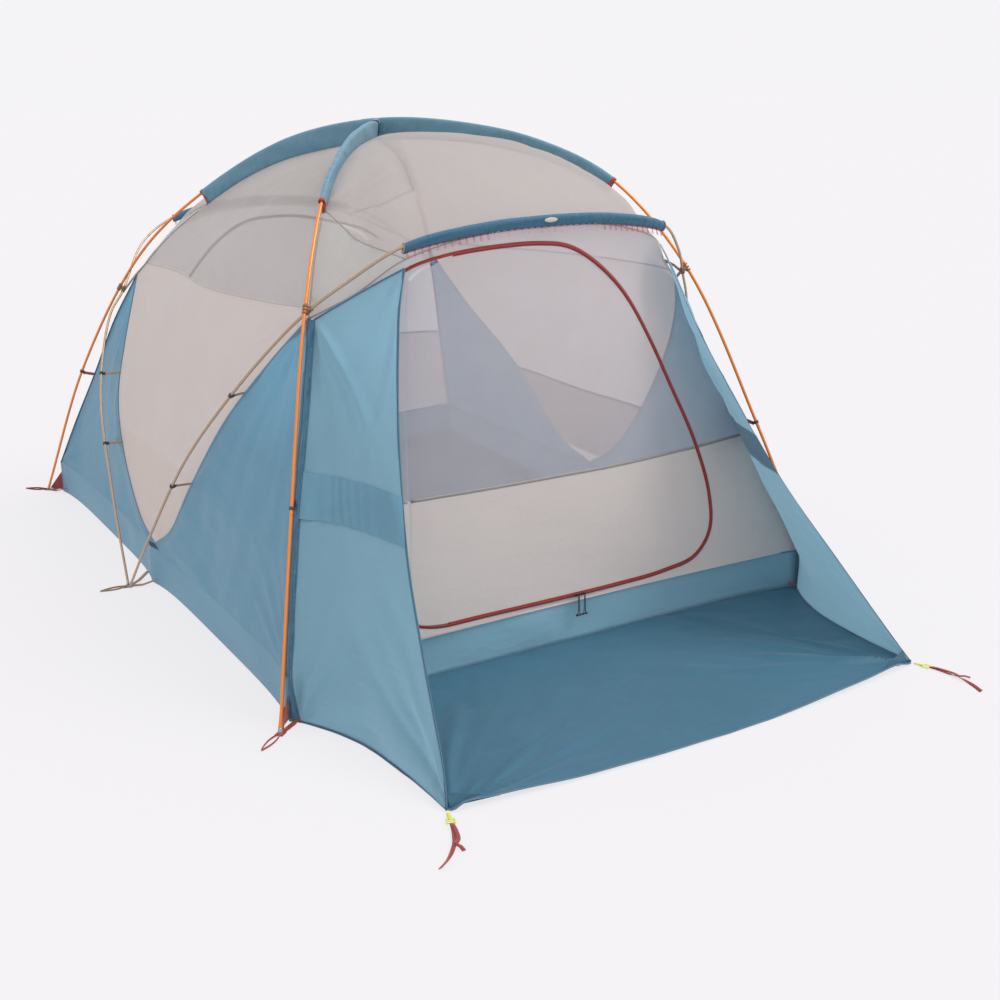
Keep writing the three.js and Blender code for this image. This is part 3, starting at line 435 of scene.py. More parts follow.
def zip_coil(name, hexed):
    """Coil of a zip: slanted teeth across it, a dark line along the middle where the halves meet."""
    n = Nodes(name)
    colour = linear(hexed)
    uv = n.place()
    teeth = n.wave(n.scaled(uv, (1.0, 0.25, 1.0)), 130.0, "X")
    wear = n.noise(uv, 40.0, 3.0)
    base = n.blend(teeth, shade(colour, 0.55), shade(colour, 1.15))
    base = n.blend(n.math("MULTIPLY", wear, 0.3), base, shade(colour, 0.8))
    n.give("Base Color", base)
    n.give("Normal", n.bump(teeth, 0.0008, 0.9))
    n.give("Roughness", n.math("ADD", n.math("MULTIPLY", wear, 0.2), 0.3))
    return n.paint


# The canopy blue is painted lighter toward the top of its panels: painted light.
CLOTH_BLUE = cloth("cloth_blue", 0x6C9DB6, glow=0.26, wrinkle=0.008, painted_light_by_height=(0.8, 1.15, 1.3))
# The tub wall's front end, inside the porch, gets a lighter copy of the tub side blue: painted light.
CLOTH_TUB_FRONT_LIT = cloth("cloth_tub_front_painted_light_blue", 0x88B4C6, glow=0.2, wrinkle=0.006, crumple=3.5)
CLOTH_TUB_SIDE = cloth("cloth_tub_side_blue", 0x6B9CB5, glow=0.2, wrinkle=0.006, crumple=3.5)
CLOTH_DEEP = cloth("cloth_deep_blue", 0x37687F, glow=0.1, rough=0.48, wrinkle=0.009, coat=0.15, crumple=3.0)
# The porch cloth is painted lighter toward its top: painted light where light comes through the porch.
CLOTH_PORCH = cloth("cloth_porch_blue", 0x88B3C5, glow=0.40, crumple=4.0, painted_light_by_height=(0.85, 1.25, 1.22))
CLOTH_BAND = cloth("cloth_band_blue", 0x6C9AB0, glow=0.2, wrinkle=0.006)
# The fold strip's deep blue is painted shade in the fold beside the leg seam.
CLOTH_FOLD_SHADED = cloth("cloth_fold_painted_shade_blue", 0x41708A, glow=0.08, wrinkle=0.012, crumple=14.0)
CLOTH_PALE = cloth("cloth_pale_grey", 0xE7DCD6, glow=0.36, wrinkle=0.003, ripstop=0.05)
CLOTH_SHEER = cloth("cloth_sheer", 0xCCC2BD, cover=0.74, glow=0.36, wrinkle=0.006, ripstop=0.02)
# The sheer side cloth is painted darker toward the ridge: painted shade under the ridge sleeves.
CLOTH_SHEER_SIDE = cloth("cloth_sheer_side", 0xCCC2BD, cover=0.74, glow=0.36, wrinkle=0.006, ripstop=0.02,
                         painted_light_by_height=(1.48, 1.75, 0.82))
CLOTH_SHEER_LIGHT = cloth("cloth_sheer_light", 0xD0CEC7, cover=0.8, glow=0.4, wrinkle=0.006, ripstop=0.02)
CLOTH_MESH = cloth("cloth_mesh", 0xDAD4D9, cover=0.64, glow=0.36, wrinkle=0.003, rip=0.0045, ripstop=0.02)
CLOTH_PATCH = cloth("cloth_patch_blue", 0x315A70, glow=0.05, wrinkle=0.008, crumple=14.0)
SLEEVE_BLUE = cloth("sleeve_blue", 0x6F9BB0, glow=0.15, wrinkle=0.012, crumple=10.0)
SLEEVE_DEEP = cloth("sleeve_deep_blue", 0x41728D, glow=0.1, wrinkle=0.008, crumple=14.0)
TAPE_BLUE = webbing("tape_blue", 0x5986A0, stitch=0x86A9BC)
TAPE_DEEP = webbing("tape_deep_blue", 0x32607A, stitch=0x6F97AB)
TAPE_PALE = webbing("tape_pale", 0xB9B1AD, stitch=0xC8C1BD)
TAPE_GREY = webbing("tape_grey", 0x96928F, stitch=0xB5B1AE)
WEB_RED = webbing("webbing_red", 0xA8352C, stitch=0xCF7468)
WEB_STRAP = webbing("strap_red", 0x8E1B10, stitch=0xA63C30)
WEB_DARK_RED = webbing("webbing_dark_red", 0x7C2A2A, stitch=0xA85C56)
WEB_BRONZE = webbing("webbing_bronze", 0x97816C, stitch=0xBBA996)
ZIP_TAPE = webbing("zip_tape", 0x93302E)
ORANGE = anodised("pole_orange", 0xEA8430)
BRONZE = anodised("pole_bronze", 0xB2977C, rough=0.26)
STEEL = anodised("pole_tip_metal", 0xA9A9AB, rough=0.35)
COIL = zip_coil("zip_coil", 0xB23A34)
BLACK = hard("black_metal", 0x2A2B2E, rough=0.38, metallic=0.5)
DARK_PLASTIC = hard("clip_plastic", 0x3F3835, rough=0.5)
TOGGLE = hard("toggle_plastic", 0x241519, rough=0.5)
HUB_PLASTIC = hard("hub_plastic", 0x8A6448, rough=0.45)
YELLOW = hard("yellow_plastic", 0xCBD048, rough=0.45)
CORD_RED = webbing("cord_red", 0xD9505A, pitch=0.0016)
CORD_PINK = webbing("cord_pink", 0xE9A3A8, pitch=0.0016)
CORD_BLACK = webbing("cord_black", 0x151518, pitch=0.0014)


# ---------------------------------------------------------------- curves and surfaces
class Curve:
    """Centripetal Catmull-Rom curve through points, from t = 0 to 1."""

    def __init__(self, points):
        self.points = np.asarray(points, float)

    def at(self, t):
        t = np.atleast_1d(np.asarray(t, float))
        p = self.points
        last = len(p) - 1
        k = np.clip(np.floor(t * last).astype(int), 0, last - 1)
        w = (t * last - k)[:, None]
        ends = np.vstack([2 * p[0] - p[1], p, 2 * p[-1] - p[-2]])
        a, b, c, d = (ends[k + i] for i in range(4))
        da, db, dc = (np.sqrt(np.linalg.norm(q - r, axis=1))[:, None] for q, r in ((b, a), (c, b), (d, c)))
        m1 = ((b - a) / da - (c - a) / (da + db) + (c - b) / db) * db
        m2 = ((c - b) / db - (d - b) / (db + dc) + (d - c) / dc) * db
        return b + w * m1 + w**2 * (3 * (c - b) - 2 * m1 - m2) + w**3 * (2 * (b - c) + m1 + m2)

    def line(self, count):
        return self.at(np.linspace(0, 1, count))

    def part(self, start, stop, count=13):
        return Curve(self.at(np.linspace(start, stop, count)))

    def nearest(self, point, count=401):
        t = np.linspace(0, 1, count)
        return t[np.argmin(np.linalg.norm(self.at(t) - point, axis=1))]


def along(points):
    """Distance along a line of points."""
    return np.concatenate([[0], np.cumsum(np.linalg.norm(np.diff(points, axis=0), axis=1))])


def even(points, count):
    """The same line with evenly spaced points."""
    s = along(points)
    at = np.linspace(0, s[-1], count)
    return np.stack([np.interp(at, s, points[:, k]) for k in range(points.shape[1])], axis=1)


def unit(v):
    return v / np.maximum(np.linalg.norm(v, axis=-1, keepdims=True), 1e-12)


def on_diagonal(side, end, profile):
    return np.array([[side * FOOT_X * s, end * FOOT_Y * s, h / 1000] for s, h in profile])


def placed(side, end, points):
    return mm(points) * [side, end, 1]


def coons(low, high, start, stop, rows, cols):
    """Grid of points over a patch between four curves."""
    u = np.linspace(0, 1, rows + 1)[:, None, None]
    v = np.linspace(0, 1, cols + 1)[None, :, None]
    a, b = low.line(cols + 1)[None], high.line(cols + 1)[None]
    c, d = start.line(rows + 1)[:, None], stop.line(rows + 1)[:, None]
    low_corners = a[:, :1] * (1 - u) * (1 - v) + a[:, -1:] * (1 - u) * v
    corners = low_corners + b[:, :1] * u * (1 - v) + b[:, -1:] * u * v
    return a * (1 - u) + b * u + c * (1 - v) + d * v - corners


def grid_normals(grid):
    return unit(np.cross(np.gradient(grid, axis=0), np.gradient(grid, axis=1)))


def grid_uv(grid):
    """Metric coordinates over a grid, measured from its middle."""
    across = np.linalg.norm(np.diff(grid, axis=1), axis=2)
    down = np.linalg.norm(np.diff(grid, axis=0), axis=2)
    u = np.concatenate([np.zeros((len(grid), 1)), np.cumsum(across, axis=1)], axis=1)
    v = np.concatenate([np.zeros((1, grid.shape[1])), np.cumsum(down, axis=0)], axis=0)
    u -= u.mean(axis=1, keepdims=True)
    return np.stack([u, v - v.mean(axis=0, keepdims=True)], axis=2)


def arc(angle, start, quarter):
    """Directions turned from `start` toward `quarter`, which is a quarter turn on."""
    return np.cos(angle)[:, None] * start + np.sin(angle)[:, None] * quarter


def flat_section(half, thick=0.001):
    """Section of a tape lying flat, as [across, up] pairs."""
    return [[-half, -thick / 2], [half, -thick / 2], [half, thick / 2], [-half, thick / 2]]


def pulled_folds(grid, pulls, rng):
    """Lift of folds that run out from points where the cloth is pulled tight.

    pulls are (point, number of folds, their reach, height, half angle they spread over).
    """
    normal = unit(grid_normals(grid).mean(axis=(0, 1)))
    middle = grid.mean(axis=(0, 1))
    lift = np.zeros(grid.shape[:2])
    for point, count, reach, height, spread in pulls:
        ahead = middle - point
        ahead = unit(ahead - normal * ahead.dot(normal))
        beside = np.cross(normal, ahead)
        away, aside = (grid - point) @ ahead, (grid - point) @ beside
        for k in range(count):
            turn = spread * ((2 * k + 1) / count - 1) + rng.normal(0, 0.05)
            far = reach * rng.uniform(0.4, 1.15)
            tall = height * rng.uniform(0.35, 1) * rng.choice([-1, 1])
            go = away * math.cos(turn) + aside * math.sin(turn)
            off = aside * math.cos(turn) - away * math.sin(turn)
            off = off + 0.012 * np.sin(go * 7 + rng.uniform(0, 6.28))
            width = 0.010 + 0.035 * np.maximum(go, 0)
            profile = tall * np.exp(-((off / width) ** 2))
            lift += profile * np.clip(go / 0.05, 0, 1) * np.exp(-((go / far) ** 2))
    return lift


def wrinkled(grid, pulls=(), ripple=0.002, seed=1, pinned=True):
    """Cloth's own unevenness: soft ripples, and folds that run out from where it is pulled."""
    rng = np.random.default_rng(seed)
    uv = grid_uv(grid)
    lift = pulled_folds(grid, pulls, rng)
    for k in range(9):
        way = rng.normal(size=2)
        way *= rng.uniform(4, 13) * (1 + 0.35 * k) / np.linalg.norm(way)
        lift += ripple * np.sin(uv @ way + rng.uniform(0, 6.28)) / (1 + 0.45 * k)
    if pinned:
        rows, cols = lift.shape
        i, j = np.arange(rows)[:, None], np.arange(cols)[None, :]
        from_ends = np.minimum(i, rows - 1 - i) / (0.06 * rows)
        from_sides = np.minimum(j, cols - 1 - j) / (0.06 * cols)
        inward = np.minimum(from_ends, from_sides)
        lift *= np.clip(inward, 0, 1) ** 0.7
    return grid + grid_normals(grid) * lift[:, :, None]


class Shape:
    """Gathers patches, sweeps and solids into one mesh piece."""

    def __init__(self):
        self.points = []
        self.faces = []
        self.uvs = []
        self.slots = []
        self.count = 0

    def add(self, points, faces, uv, slot=0):
        points = np.asarray(points, float).reshape(-1, 3)
        self.points.append(points)
        self.uvs.append(np.asarray(uv, float).reshape(-1, 2))
        self.faces += [tuple(self.count + i for i in f) for f in faces]
        self.slots += [slot] * len(faces)
        self.count += len(points)
        return self

    def grid(self, grid, slot=0, uv=None, wrap=False):
        rows, cols = grid.shape[:2]
        last = cols if wrap else cols - 1
        starts = [(i * cols, j, (j + 1) % cols) for i in range(rows - 1) for j in range(last)]
        faces = [(row + j, row + cols + j, row + cols + k, row + k) for row, j, k in starts]
        return self.add(grid, faces, grid_uv(grid) if uv is None else uv, slot)

    def sweep(self, path, section, up=UP, slot=0):
        """Closed sweep of a section, [across, up] pairs or one such list per point, along a path."""
        path = np.asarray(path, float)
        section = np.asarray(section, float)
        tangent = unit(np.gradient(path, axis=0))
        across = unit(np.cross(tangent, np.broadcast_to(up, path.shape)))
        above = np.cross(across, tangent)
        if section.ndim == 2:
            section = np.repeat(section[None], len(path), axis=0)
        points = path[:, None] + across[:, None] * section[:, :, :1] + above[:, None] * section[:, :, 1:]
        n, k = points.shape[:2]
        faces = [(i * k + j, i * k + (j + 1) % k, (i + 1) * k + (j + 1) % k, (i + 1) * k + j)
                 for i in range(n - 1) for j in range(k)]
        faces += [tuple(reversed(range(k))), tuple((n - 1) * k + j for j in range(k))]
        s = np.repeat(along(path)[:, None], k, axis=1)
        uv = np.stack([s, section[:, :, 0] + 0.3 * section[:, :, 1]], axis=2)
        return self.add(points, faces, uv, slot)

    def tube(self, path, radius, sides=12, slot=0, up=UP):
        path = np.asarray(path, float)
        radius = np.broadcast_to(radius, len(path))
        angle = np.linspace(0, 2 * math.pi, sides, endpoint=False)
        ring = np.stack([np.cos(angle), np.sin(angle)], axis=1)
        return self.sweep(path, ring[None] * radius[:, None, None], up, slot)

    def tape(self, path, width, up, slot=0, thick=0.0009):
        """Flat strip that lies on a surface whose normal is `up`."""
        w, half = width / 2, thick / 2
        section = [[-w, -half], [w, -half], [w * 0.98, half], [0, thick * 0.8], [-w * 0.98, half]]
        return self.sweep(path, section, up, slot)

    def ball(self, centre, radii, slot=0, rows=8, cols=12):
        lat = np.linspace(-math.pi / 2, math.pi / 2, rows + 1)[:, None]
        lon = np.linspace(0, 2 * math.pi, cols, endpoint=False)[None]
        sphere = [np.cos(lat) * np.cos(lon), np.cos(lat) * np.sin(lon), np.sin(lat) + 0 * lon]
        p = np.stack(sphere, axis=2) * radii
        return self.grid(np.asarray(centre) + p, slot, p[:, :, :2], wrap=True)

    def piece(self, name, paints, body="tent", slot=None, stands_for=()):
        """Makes the mesh. It rides on `body`, or on no body where body is None."""
        mesh = bpy.data.meshes.new(name)
        mesh.from_pydata(np.vstack(self.points).tolist(), [], self.faces)
        uv = np.vstack(self.uvs)
        layer = mesh.uv_layers.new(name="cloth")
        index = np.empty(len(mesh.loops), int)
        mesh.loops.foreach_get("vertex_index", index)
        layer.data.foreach_set("uv", uv[index].ravel())
        for paint in paints if isinstance(paints, (list, tuple)) else [paints]:
            mesh.materials.append(paint)
        mesh.polygons.foreach_set("material_index", self.slots)
        mesh.polygons.foreach_set("use_smooth", [True] * len(mesh.polygons))
        obj = bpy.data.objects.new(name, mesh)
        bpy.context.scene.collection.objects.link(obj)
        tidy = bmesh.new()
        tidy.from_mesh(mesh)
        bmesh.ops.remove_doubles(tidy, verts=tidy.verts, dist=1e-6)
        bmesh.ops.recalc_face_normals(tidy, faces=tidy.faces)
        tidy.to_mesh(mesh)
        tidy.free()
        if body:
            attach(obj, body)
        if stands_for:
            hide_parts(*stands_for)
        return obj


def cut_by_plane(obj, point, normal, above, where=None):
    """Cuts a mesh along a plane and gives the faces on the far side of it material slot `above`."""
    work = bmesh.new()
    work.from_mesh(obj.data)
    faces = list(work.faces) if where is None else [f for f in work.faces if where(f.calc_center_median())]
    edges = {e for f in faces for e in f.edges}
    verts = {v for f in faces for v in f.verts}
    parts = faces + list(edges) + list(verts)
    made = bmesh.ops.bisect_plane(work, geom=parts, plane_co=point, plane_no=normal, dist=1e-6)
    seam = [v.co.copy() for v in made["geom_cut"] if isinstance(v, bmesh.types.BMVert)]
    for face in work.faces:
        middle = face.calc_center_median()
        if (where is None or where(middle)) and (middle - Vector(point)).dot(Vector(normal)) > 0:
            face.material_index = above
    work.to_mesh(obj.data)
    work.free()
    return np.array(seam)


def keep_between(obj, planes):
    """Cuts away what lies beyond each (point, normal) plane, on the side its normal points to."""
    work = bmesh.new()
    work.from_mesh(obj.data)
    for point, normal in planes:
        everything = list(work.verts) + list(work.edges) + list(work.faces)
        bmesh.ops.bisect_plane(work, geom=everything, plane_co=point, plane_no=normal, clear_outer=True)
    work.to_mesh(obj.data)
    work.free()


# ---------------------------------------------------------------- pole and seam lines
def main_pole(front_side, lift):
    scale = (PEAK + lift) / PEAK
    raised = {end: [[s, h * scale if h > 100 else h] for s, h in POLE_PROFILE[end]] for end in (FRONT, BACK)}
    front = on_diagonal(front_side, FRONT, raised[FRONT])[::-1]
    back = on_diagonal(-front_side, BACK, raised[BACK])
    return Curve(np.vstack([front, [[0, 0, PEAK + lift]], back]))


def across_middle(end, half):
    right = placed(RIGHT, end, half)
    return Curve(np.vstack([right * [-1, 1, 1], right[-2::-1]]))


MAIN_POLE = {LEFT: main_pole(LEFT, -POLE_LIFT), RIGHT: main_pole(RIGHT, POLE_LIFT)}
BROW = {end: across_middle(end, BROW_POLE[end]) for end in (FRONT, BACK)}
KINDS = [(side, end) for side in (LEFT, RIGHT) for end in (FRONT, BACK)]
RIDGE = {k: Curve(on_diagonal(*k, RIDGE_CREASE[k[1]])) for k in KINDS}
LEG = {k: Curve(on_diagonal(*k, LEG_CREASE[k[1]])) for k in KINDS}
SIDE_SEAM = {k: Curve(placed(*k, SIDE_CREASE[k[1]])) for k in KINDS}
BROW_SEAM = {k: Curve(placed(*k, BROW_CREASE[k[1]])) for k in KINDS}
TAG = {k: f"{ENDS[k[1]]}_{SIDES[k[0]]}" for k in KINDS}


def pole_over(side, end):
    """Main pole that stands on this corner."""
    return MAIN_POLE[side if end == FRONT else -side]


def tub_side(side, end, u, z):
    pulled = 0.032 * (1 - u) ** 12 + (CORNER_X - TUB_HALF_WIDTH) * u**10
    return np.stack([side * (TUB_HALF_WIDTH + pulled), end * CORNER_Y * u, z + 0 * u], axis=-1)


def tub_end(side, end, u, z):
    pulled = (CORNER_Y - TUB_HALF_LENGTH) * u**8
    return np.stack([side * CORNER_X * u, end * (TUB_HALF_LENGTH + pulled), z + 0 * u], axis=-1)


def outward(points):
    """Direction away from the middle of the tent, for what lies on its cloth."""
    return unit(np.asarray(points) - np.array([0, 0, 0.5]))


def add_seam_tape(name, line, width, paint, slot, lift=0.001):
    """Tape that lies on the cloth along a line."""
    out = outward(line)
    Shape().tape(line + out * lift, width, out).piece(name, paint, slot=slot)


# ---------------------------------------------------------------- poles
def add_pole(name, curve, radius, paint, slot):
    shape = Shape()
    path = even(curve.line(600), 260)
    shape.tube(path, radius, 16)
    length = along(path)[-1]
    section = length / 8
    for k in range(1, 8):
        s = np.linspace(k * section - 0.011, k * section + 0.011, 7)
        ring = np.stack([np.interp(s, along(path), path[:, i]) for i in range(3)], axis=1)
        swell = radius + 0.0006 * np.array([0, 1, 1, 0.2, 1, 1, 0])
        shape.tube(ring, swell, 16)
    for tip in (path[:2], path[:-3:-1]):
        way = unit(tip[1] - tip[0])
        foot = tip[0] - way * 0.001
        pin = np.array([foot + way * 0.02, foot + way * 0.012, foot, foot - way * 0.0035])
        shape.tube(pin, radius * np.array([0.9, 1.14, 1.1, 0.5]), 16, 1)
    shape.piece(name + "_tube", [paint, STEEL], slot=slot, stands_for=[name])


# ---------------------------------------------------------------- fabric body
def add_shields():
    """Pale panel on each side, between the brow poles and the ridge: closed cloth below, sheer above."""
    for side in (LEFT, RIGHT):
        low, high = SIDE_SEAM[side, BACK], RIDGE[side, FRONT]
        start, stop = SIDE_SEAM[side, FRONT], RIDGE[side, BACK]
        cut = coons(low, high, start, stop, 110, 110)
        pulls = [(LEG[side, e].at(1)[0], 9, 0.5, 0.005, 0.7) for e in (FRONT, BACK)]
        pulls.append((low.at(0)[0], 7, 0.5, 0.004, 0.5))
        grid = wrinkled(cut, pulls, 0.002, 11 + side)
        name = f"side_panel_{SIDES[side]}"
        paints = [CLOTH_PALE, CLOTH_SHEER_SIDE]
        panel = Shape().grid(grid, 0, grid[:, :, 1:]).piece(
            name + "_cloth", paints, slot="fabric_pale_grey", stands_for=[name])
        seam = cut_by_plane(panel, (0, 0, SHEER_FOOT), (0, SHEER_SLOPE, 1), 1)
        seam = even(seam[np.argsort(seam[:, 1])], 80)
        add_seam_tape(f"side_seam_{SIDES[side]}", seam, 0.007, TAPE_PALE, "fabric_pale_grey")
        add_pocket(side, grid)


def add_pocket(side, grid):
    """Pocket of doubled cloth inside the foot of a side panel, with a bound rim."""
    normal = grid_normals(grid)
    facing = np.sign((normal[55, 55] * [side, 0, 0]).sum())
    inner = grid - normal * POCKET_GAP * facing
    pocket = Shape().grid(inner, 0, grid[:, :, 1:])
    pocket = pocket.piece(f"wall_pocket_{SIDES[side]}", CLOTH_PALE, slot="fabric_pale_grey")
    keep_between(pocket, [((0, 0, POCKET_HEAD), (0, 0, 1)), ((0, 0, POCKET_FOOT), (0, 0, -1))])
    rim = np.array([v.co[:] for v in pocket.data.vertices if v.co.z > POCKET_HEAD - 0.001])
    rim = even(rim[np.argsort(rim[:, 1])], 40)
    add_seam_tape(f"pocket_binding_{SIDES[side]}", rim, 0.012, TAPE_GREY, "fabric_pale_grey", 0)


def add_corner_panels():
    for side, end in KINDS:
        crease, corner = SIDE_SEAM[side, end], LEG[side, end]
        bottom = tub_side(side, end, np.linspace(0.008, 1, 17), TUB_WALL)
        low = Curve(np.vstack([crease.at(0), bottom[1:-1], corner.at(0)]))
        top = 0.99
        head = Curve(np.linspace(crease.at(top)[0], corner.at(top)[0], 5))
        cut = coons(low, head, crease.part(0, top), corner.part(0, top), 110, 90)
        pulls = [(corner.at(0)[0], 9, 0.45, 0.010, 0.6), (corner.at(1)[0], 10, 0.7, 0.009, 0.5),
                 (crease.at(0)[0], 6, 0.4, 0.006, 0.4), (crease.at(0.42)[0], 5, 0.3, 0.008, 0.6)]
        grid = wrinkled(cut, pulls, 0.0035, 20 + 3 * side + end)
        name = f"corner_panel_{TAG[side, end]}"
        panel = Shape().grid(grid, 0, grid[:, :, 1:]).piece(
            name + "_cloth", CLOTH_BLUE, slot="fabric_blue", stands_for=[name])
        # The leg seam's tape is deep blue and wider than the side seam's: partly the tape's own colour,
        # partly painted shade of the dark strip beside the leg.
        seams = (("side", crease, 0.010, TAPE_BLUE), ("leg", corner, 0.016, TAPE_DEEP))
        for label, curve, width, paint in seams:
            path = even(curve.line(200), 90)
            add_seam_tape(f"{label}_seam_tape_{TAG[side, end]}", path, width, paint, "fabric_blue", 0.0015)


def add_gusset(panel, side, end):
    """Small panel beside the hub, of lighter cloth, with a seam that sags between the two sleeves' ends."""
    ridge_at = RIDGE[side, end].at(SLEEVE_END)[0]
    brow_at = BROW_SEAM[side, end].at(SLEEVE_END)[0]
    hub = RIDGE[side, end].at(0)[0]
    middle = (ridge_at + brow_at) / 2
    sag = middle + unit(hub - middle) * 0.045
    seam = []

    def near_hub(point):
        return point.x * side > 0.3

    for start, stop in ((ridge_at, sag), (sag, brow_at)):
        run = stop - start
        toward_hub = np.cross(run, outward(start))
        toward_hub = unit(toward_hub * np.sign(toward_hub.dot(hub - start)))
        line = cut_by_plane(panel, start, toward_hub, 1, near_hub)
        share = (line - start) @ run / run.dot(run)
        keep = (share > 0) & (share < 1)
        seam.append(line[keep][np.argsort(share[keep])])
    seam = even(np.vstack(seam), 40)
    for _ in range(20):
        seam[1:-1] = (seam[:-2] + 2 * seam[1:-1] + seam[2:]) / 4
    add_seam_tape(f"gusset_seam_{TAG[side, end]}", seam, 0.006, TAPE_GREY, "mesh_grey")


def add_roof():
    """Sheer panel from each brow to the peak, with a small triangle of lighter cloth at each corner."""
    for end in (FRONT, BACK):
        left, right = RIDGE[LEFT, end], RIDGE[RIGHT, end]
        base = across_middle(end, BROW_CREASE[end])
        head = Curve([[-1e-5, 0, CANOPY_PEAK], [0, 0, CANOPY_PEAK], [1e-5, 0, CANOPY_PEAK]])
        cut = coons(base, head, left, right, 90, 110)
        pulls = [(c.at(0)[0], 8, 0.5, 0.005, 0.6) for c in (left, right)]
        pulls += [(c.at(SLEEVE_END)[0], 7, 0.4, 0.005, 0.8) for c in (left, right)]
        grid = wrinkled(cut, pulls, 0.0022, 40 + end)
        uv = np.stack([grid[:, :, 0], np.hypot(grid[:, :, 1], grid[:, :, 2])], axis=2)
        name = f"roof_panel_{ENDS[end]}"
        panel = Shape().grid(grid, 0, uv).piece(
            name + "_cloth", [CLOTH_SHEER, CLOTH_SHEER_LIGHT], slot="mesh_grey", stands_for=[name])
        for side in (LEFT, RIGHT):
            add_gusset(panel, side, end)
        path = even(base.line(300), 120)
        add_seam_tape(f"brow_seam_{ENDS[end]}", path, 0.006, TAPE_GREY, "mesh_grey", 0.002)


# ---------------------------------------------------------------- end walls, doors and zips
class EndWall:
    """Surface of one end wall, as in the CAD model: nearly flat, curling in to its border."""

    def __init__(self, end):
        self.end = end
        leg = LEG[RIGHT, end].line(40)
        brow = BROW_SEAM[RIGHT, end].line(60)[1:]
        border = np.vstack([leg, brow])
        self.border_z, self.border_x, self.border_y = border[:, 2], border[:, 0], np.abs(border[:, 1])
        self.head = border[-1, 2]

    def at(self, x, z, lift=0.0):
        x, z = np.broadcast_arrays(np.asarray(x, float), np.asarray(z, float))
        level = np.clip(z, TUB_WALL, self.head)
        edge_x = np.maximum(np.interp(level, self.border_z, self.border_x), 0.001)
        edge_y = np.interp(level, self.border_z, self.border_y)
        rise = (level - TUB_WALL) / (self.head - TUB_WALL)
        middle = WALL_FOOT + (WALL_HEAD[self.end] - WALL_FOOT) * rise
        share = np.minimum(np.abs(x) / edge_x, 1)
        out = middle + (edge_y - middle) * share**2.5
        return np.stack([x, self.end * (out + lift), z], axis=-1)

    def outline(self):
        half = np.stack([self.border_x, np.minimum(self.border_z, self.head)], axis=1)
        return np.vstack([half, half[::-1] * [-1, 1]])


DOOR_MIDDLE = np.array([0.02, 0.76])


def door_ring(end):
    """Doorway outline as [x, z], in the CAD model's frame."""
    door = DOOR[end]
    hinge = even(mm(door["hinge"]), 40)
    rim = Curve(np.vstack([mm(door["hinge"][-1:]), mm(door["rim"]), mm(door["hinge"][:1])])).line(220)
    return np.vstack([hinge[:-1], rim[:-1]]) * [-end, 1]


def polar(ring, angles, middle):
    """Radius of a star-shaped outline at the angles given."""
    away = ring - middle
    turn = np.arctan2(away[:, 1], away[:, 0])
    order = np.argsort(turn)
    turn, radius = turn[order], np.linalg.norm(away, axis=1)[order]
    turn = np.concatenate([turn - 2 * math.pi, turn, turn + 2 * math.pi])
    return np.interp(angles, turn, np.tile(radius, 3))


def add_end_wall(end):
    wall = EndWall(end)
    middle = DOOR_MIDDLE * [-end, 1]
    outline = wall.outline()
    base = np.linspace(-math.pi, math.pi, 200, endpoint=False)
    corners = np.arctan2(*(outline[[0, -1]] - middle)[:, ::-1].T)
    angles = np.sort(np.concatenate([base, corners]))
    dense = np.vstack([even(outline, 600), even(outline[[-1, 0]], 200)])
    outer = polar(dense, angles, middle)
    inner = polar(door_ring(end), angles, middle)
    way = np.stack([np.cos(angles), np.sin(angles)], axis=1)
    paints = [CLOTH_PALE, CLOTH_MESH]
    rng = np.random.default_rng(70 + end)
    phases = rng.uniform(0, 6.28, 6)

    def surface(radius, lift):
        flat = middle + way[None] * radius[:, :, None]
        x, z = flat[:, :, 0], flat[:, :, 1]
        waves = (math.exp(-0.2 * k) * np.sin((3 + 2 * k) * x + (5 - k) * z + phases[k]) for k in range(6))
        ripple = sum(waves)
        return wall.at(x, z, lift * ripple), flat

    share = np.linspace(0, 1, 26)[:, None]
    edge = np.minimum(share, 1 - share) * 4
    grid, flat = surface(inner + 0.004 + (outer - inner - 0.004) * share, 0.0016 * np.clip(edge, 0, 1))
    name = f"{ENDS[end]}_wall"
    panel = Shape().grid(grid, 0, flat, wrap=True).piece(
        name + "_cloth", paints, slot="mesh_grey", stands_for=[name])
    cut_by_plane(panel, (0, 0, MESH_FOOT), (0, 0, 1), 1)

    share = np.linspace(0.001, 1, 40)[:, None]
    grid, flat = surface((inner - 0.007) * share, 0.0022 * np.clip((1 - share) * 5, 0, 1))
    name = f"{ENDS[end]}_door"
    leaf = Shape().grid(grid, 0, flat, wrap=True).piece(
        name + "_cloth", paints, f"{ENDS[end]}_door_leaf", "mesh_grey", stands_for=[name])
    seam = cut_by_plane(leaf, (0, 0, MESH_FOOT), (0, 0, 1), 1)
    seam = even(seam[np.argsort(seam[:, 0])], 60) + [0, end * 0.001, 0]
    tape = Shape().tape(seam, 0.012, [0, end, 0.1])
    tape.piece(f"{ENDS[end]}_door_seam", TAPE_GREY, f"{ENDS[end]}_door_leaf", "mesh_grey")
    for side in (LEFT, RIGHT):
        edge_x = np.interp(MESH_FOOT, wall.border_z, wall.border_x) - 0.01
        door_x = 0.700 if side == -end else 0.630
        x = side * np.linspace(door_x, edge_x, 30)
        path = wall.at(x, np.full(30, MESH_FOOT), 0.001)
        Shape().tape(path, 0.012, [0, end, 0.1]).piece(
            f"{ENDS[end]}_wall_seam_{SIDES[side]}", TAPE_GREY, slot="mesh_grey")
    add_hinge_fold(end, wall, paints)
    add_zip(end, wall)


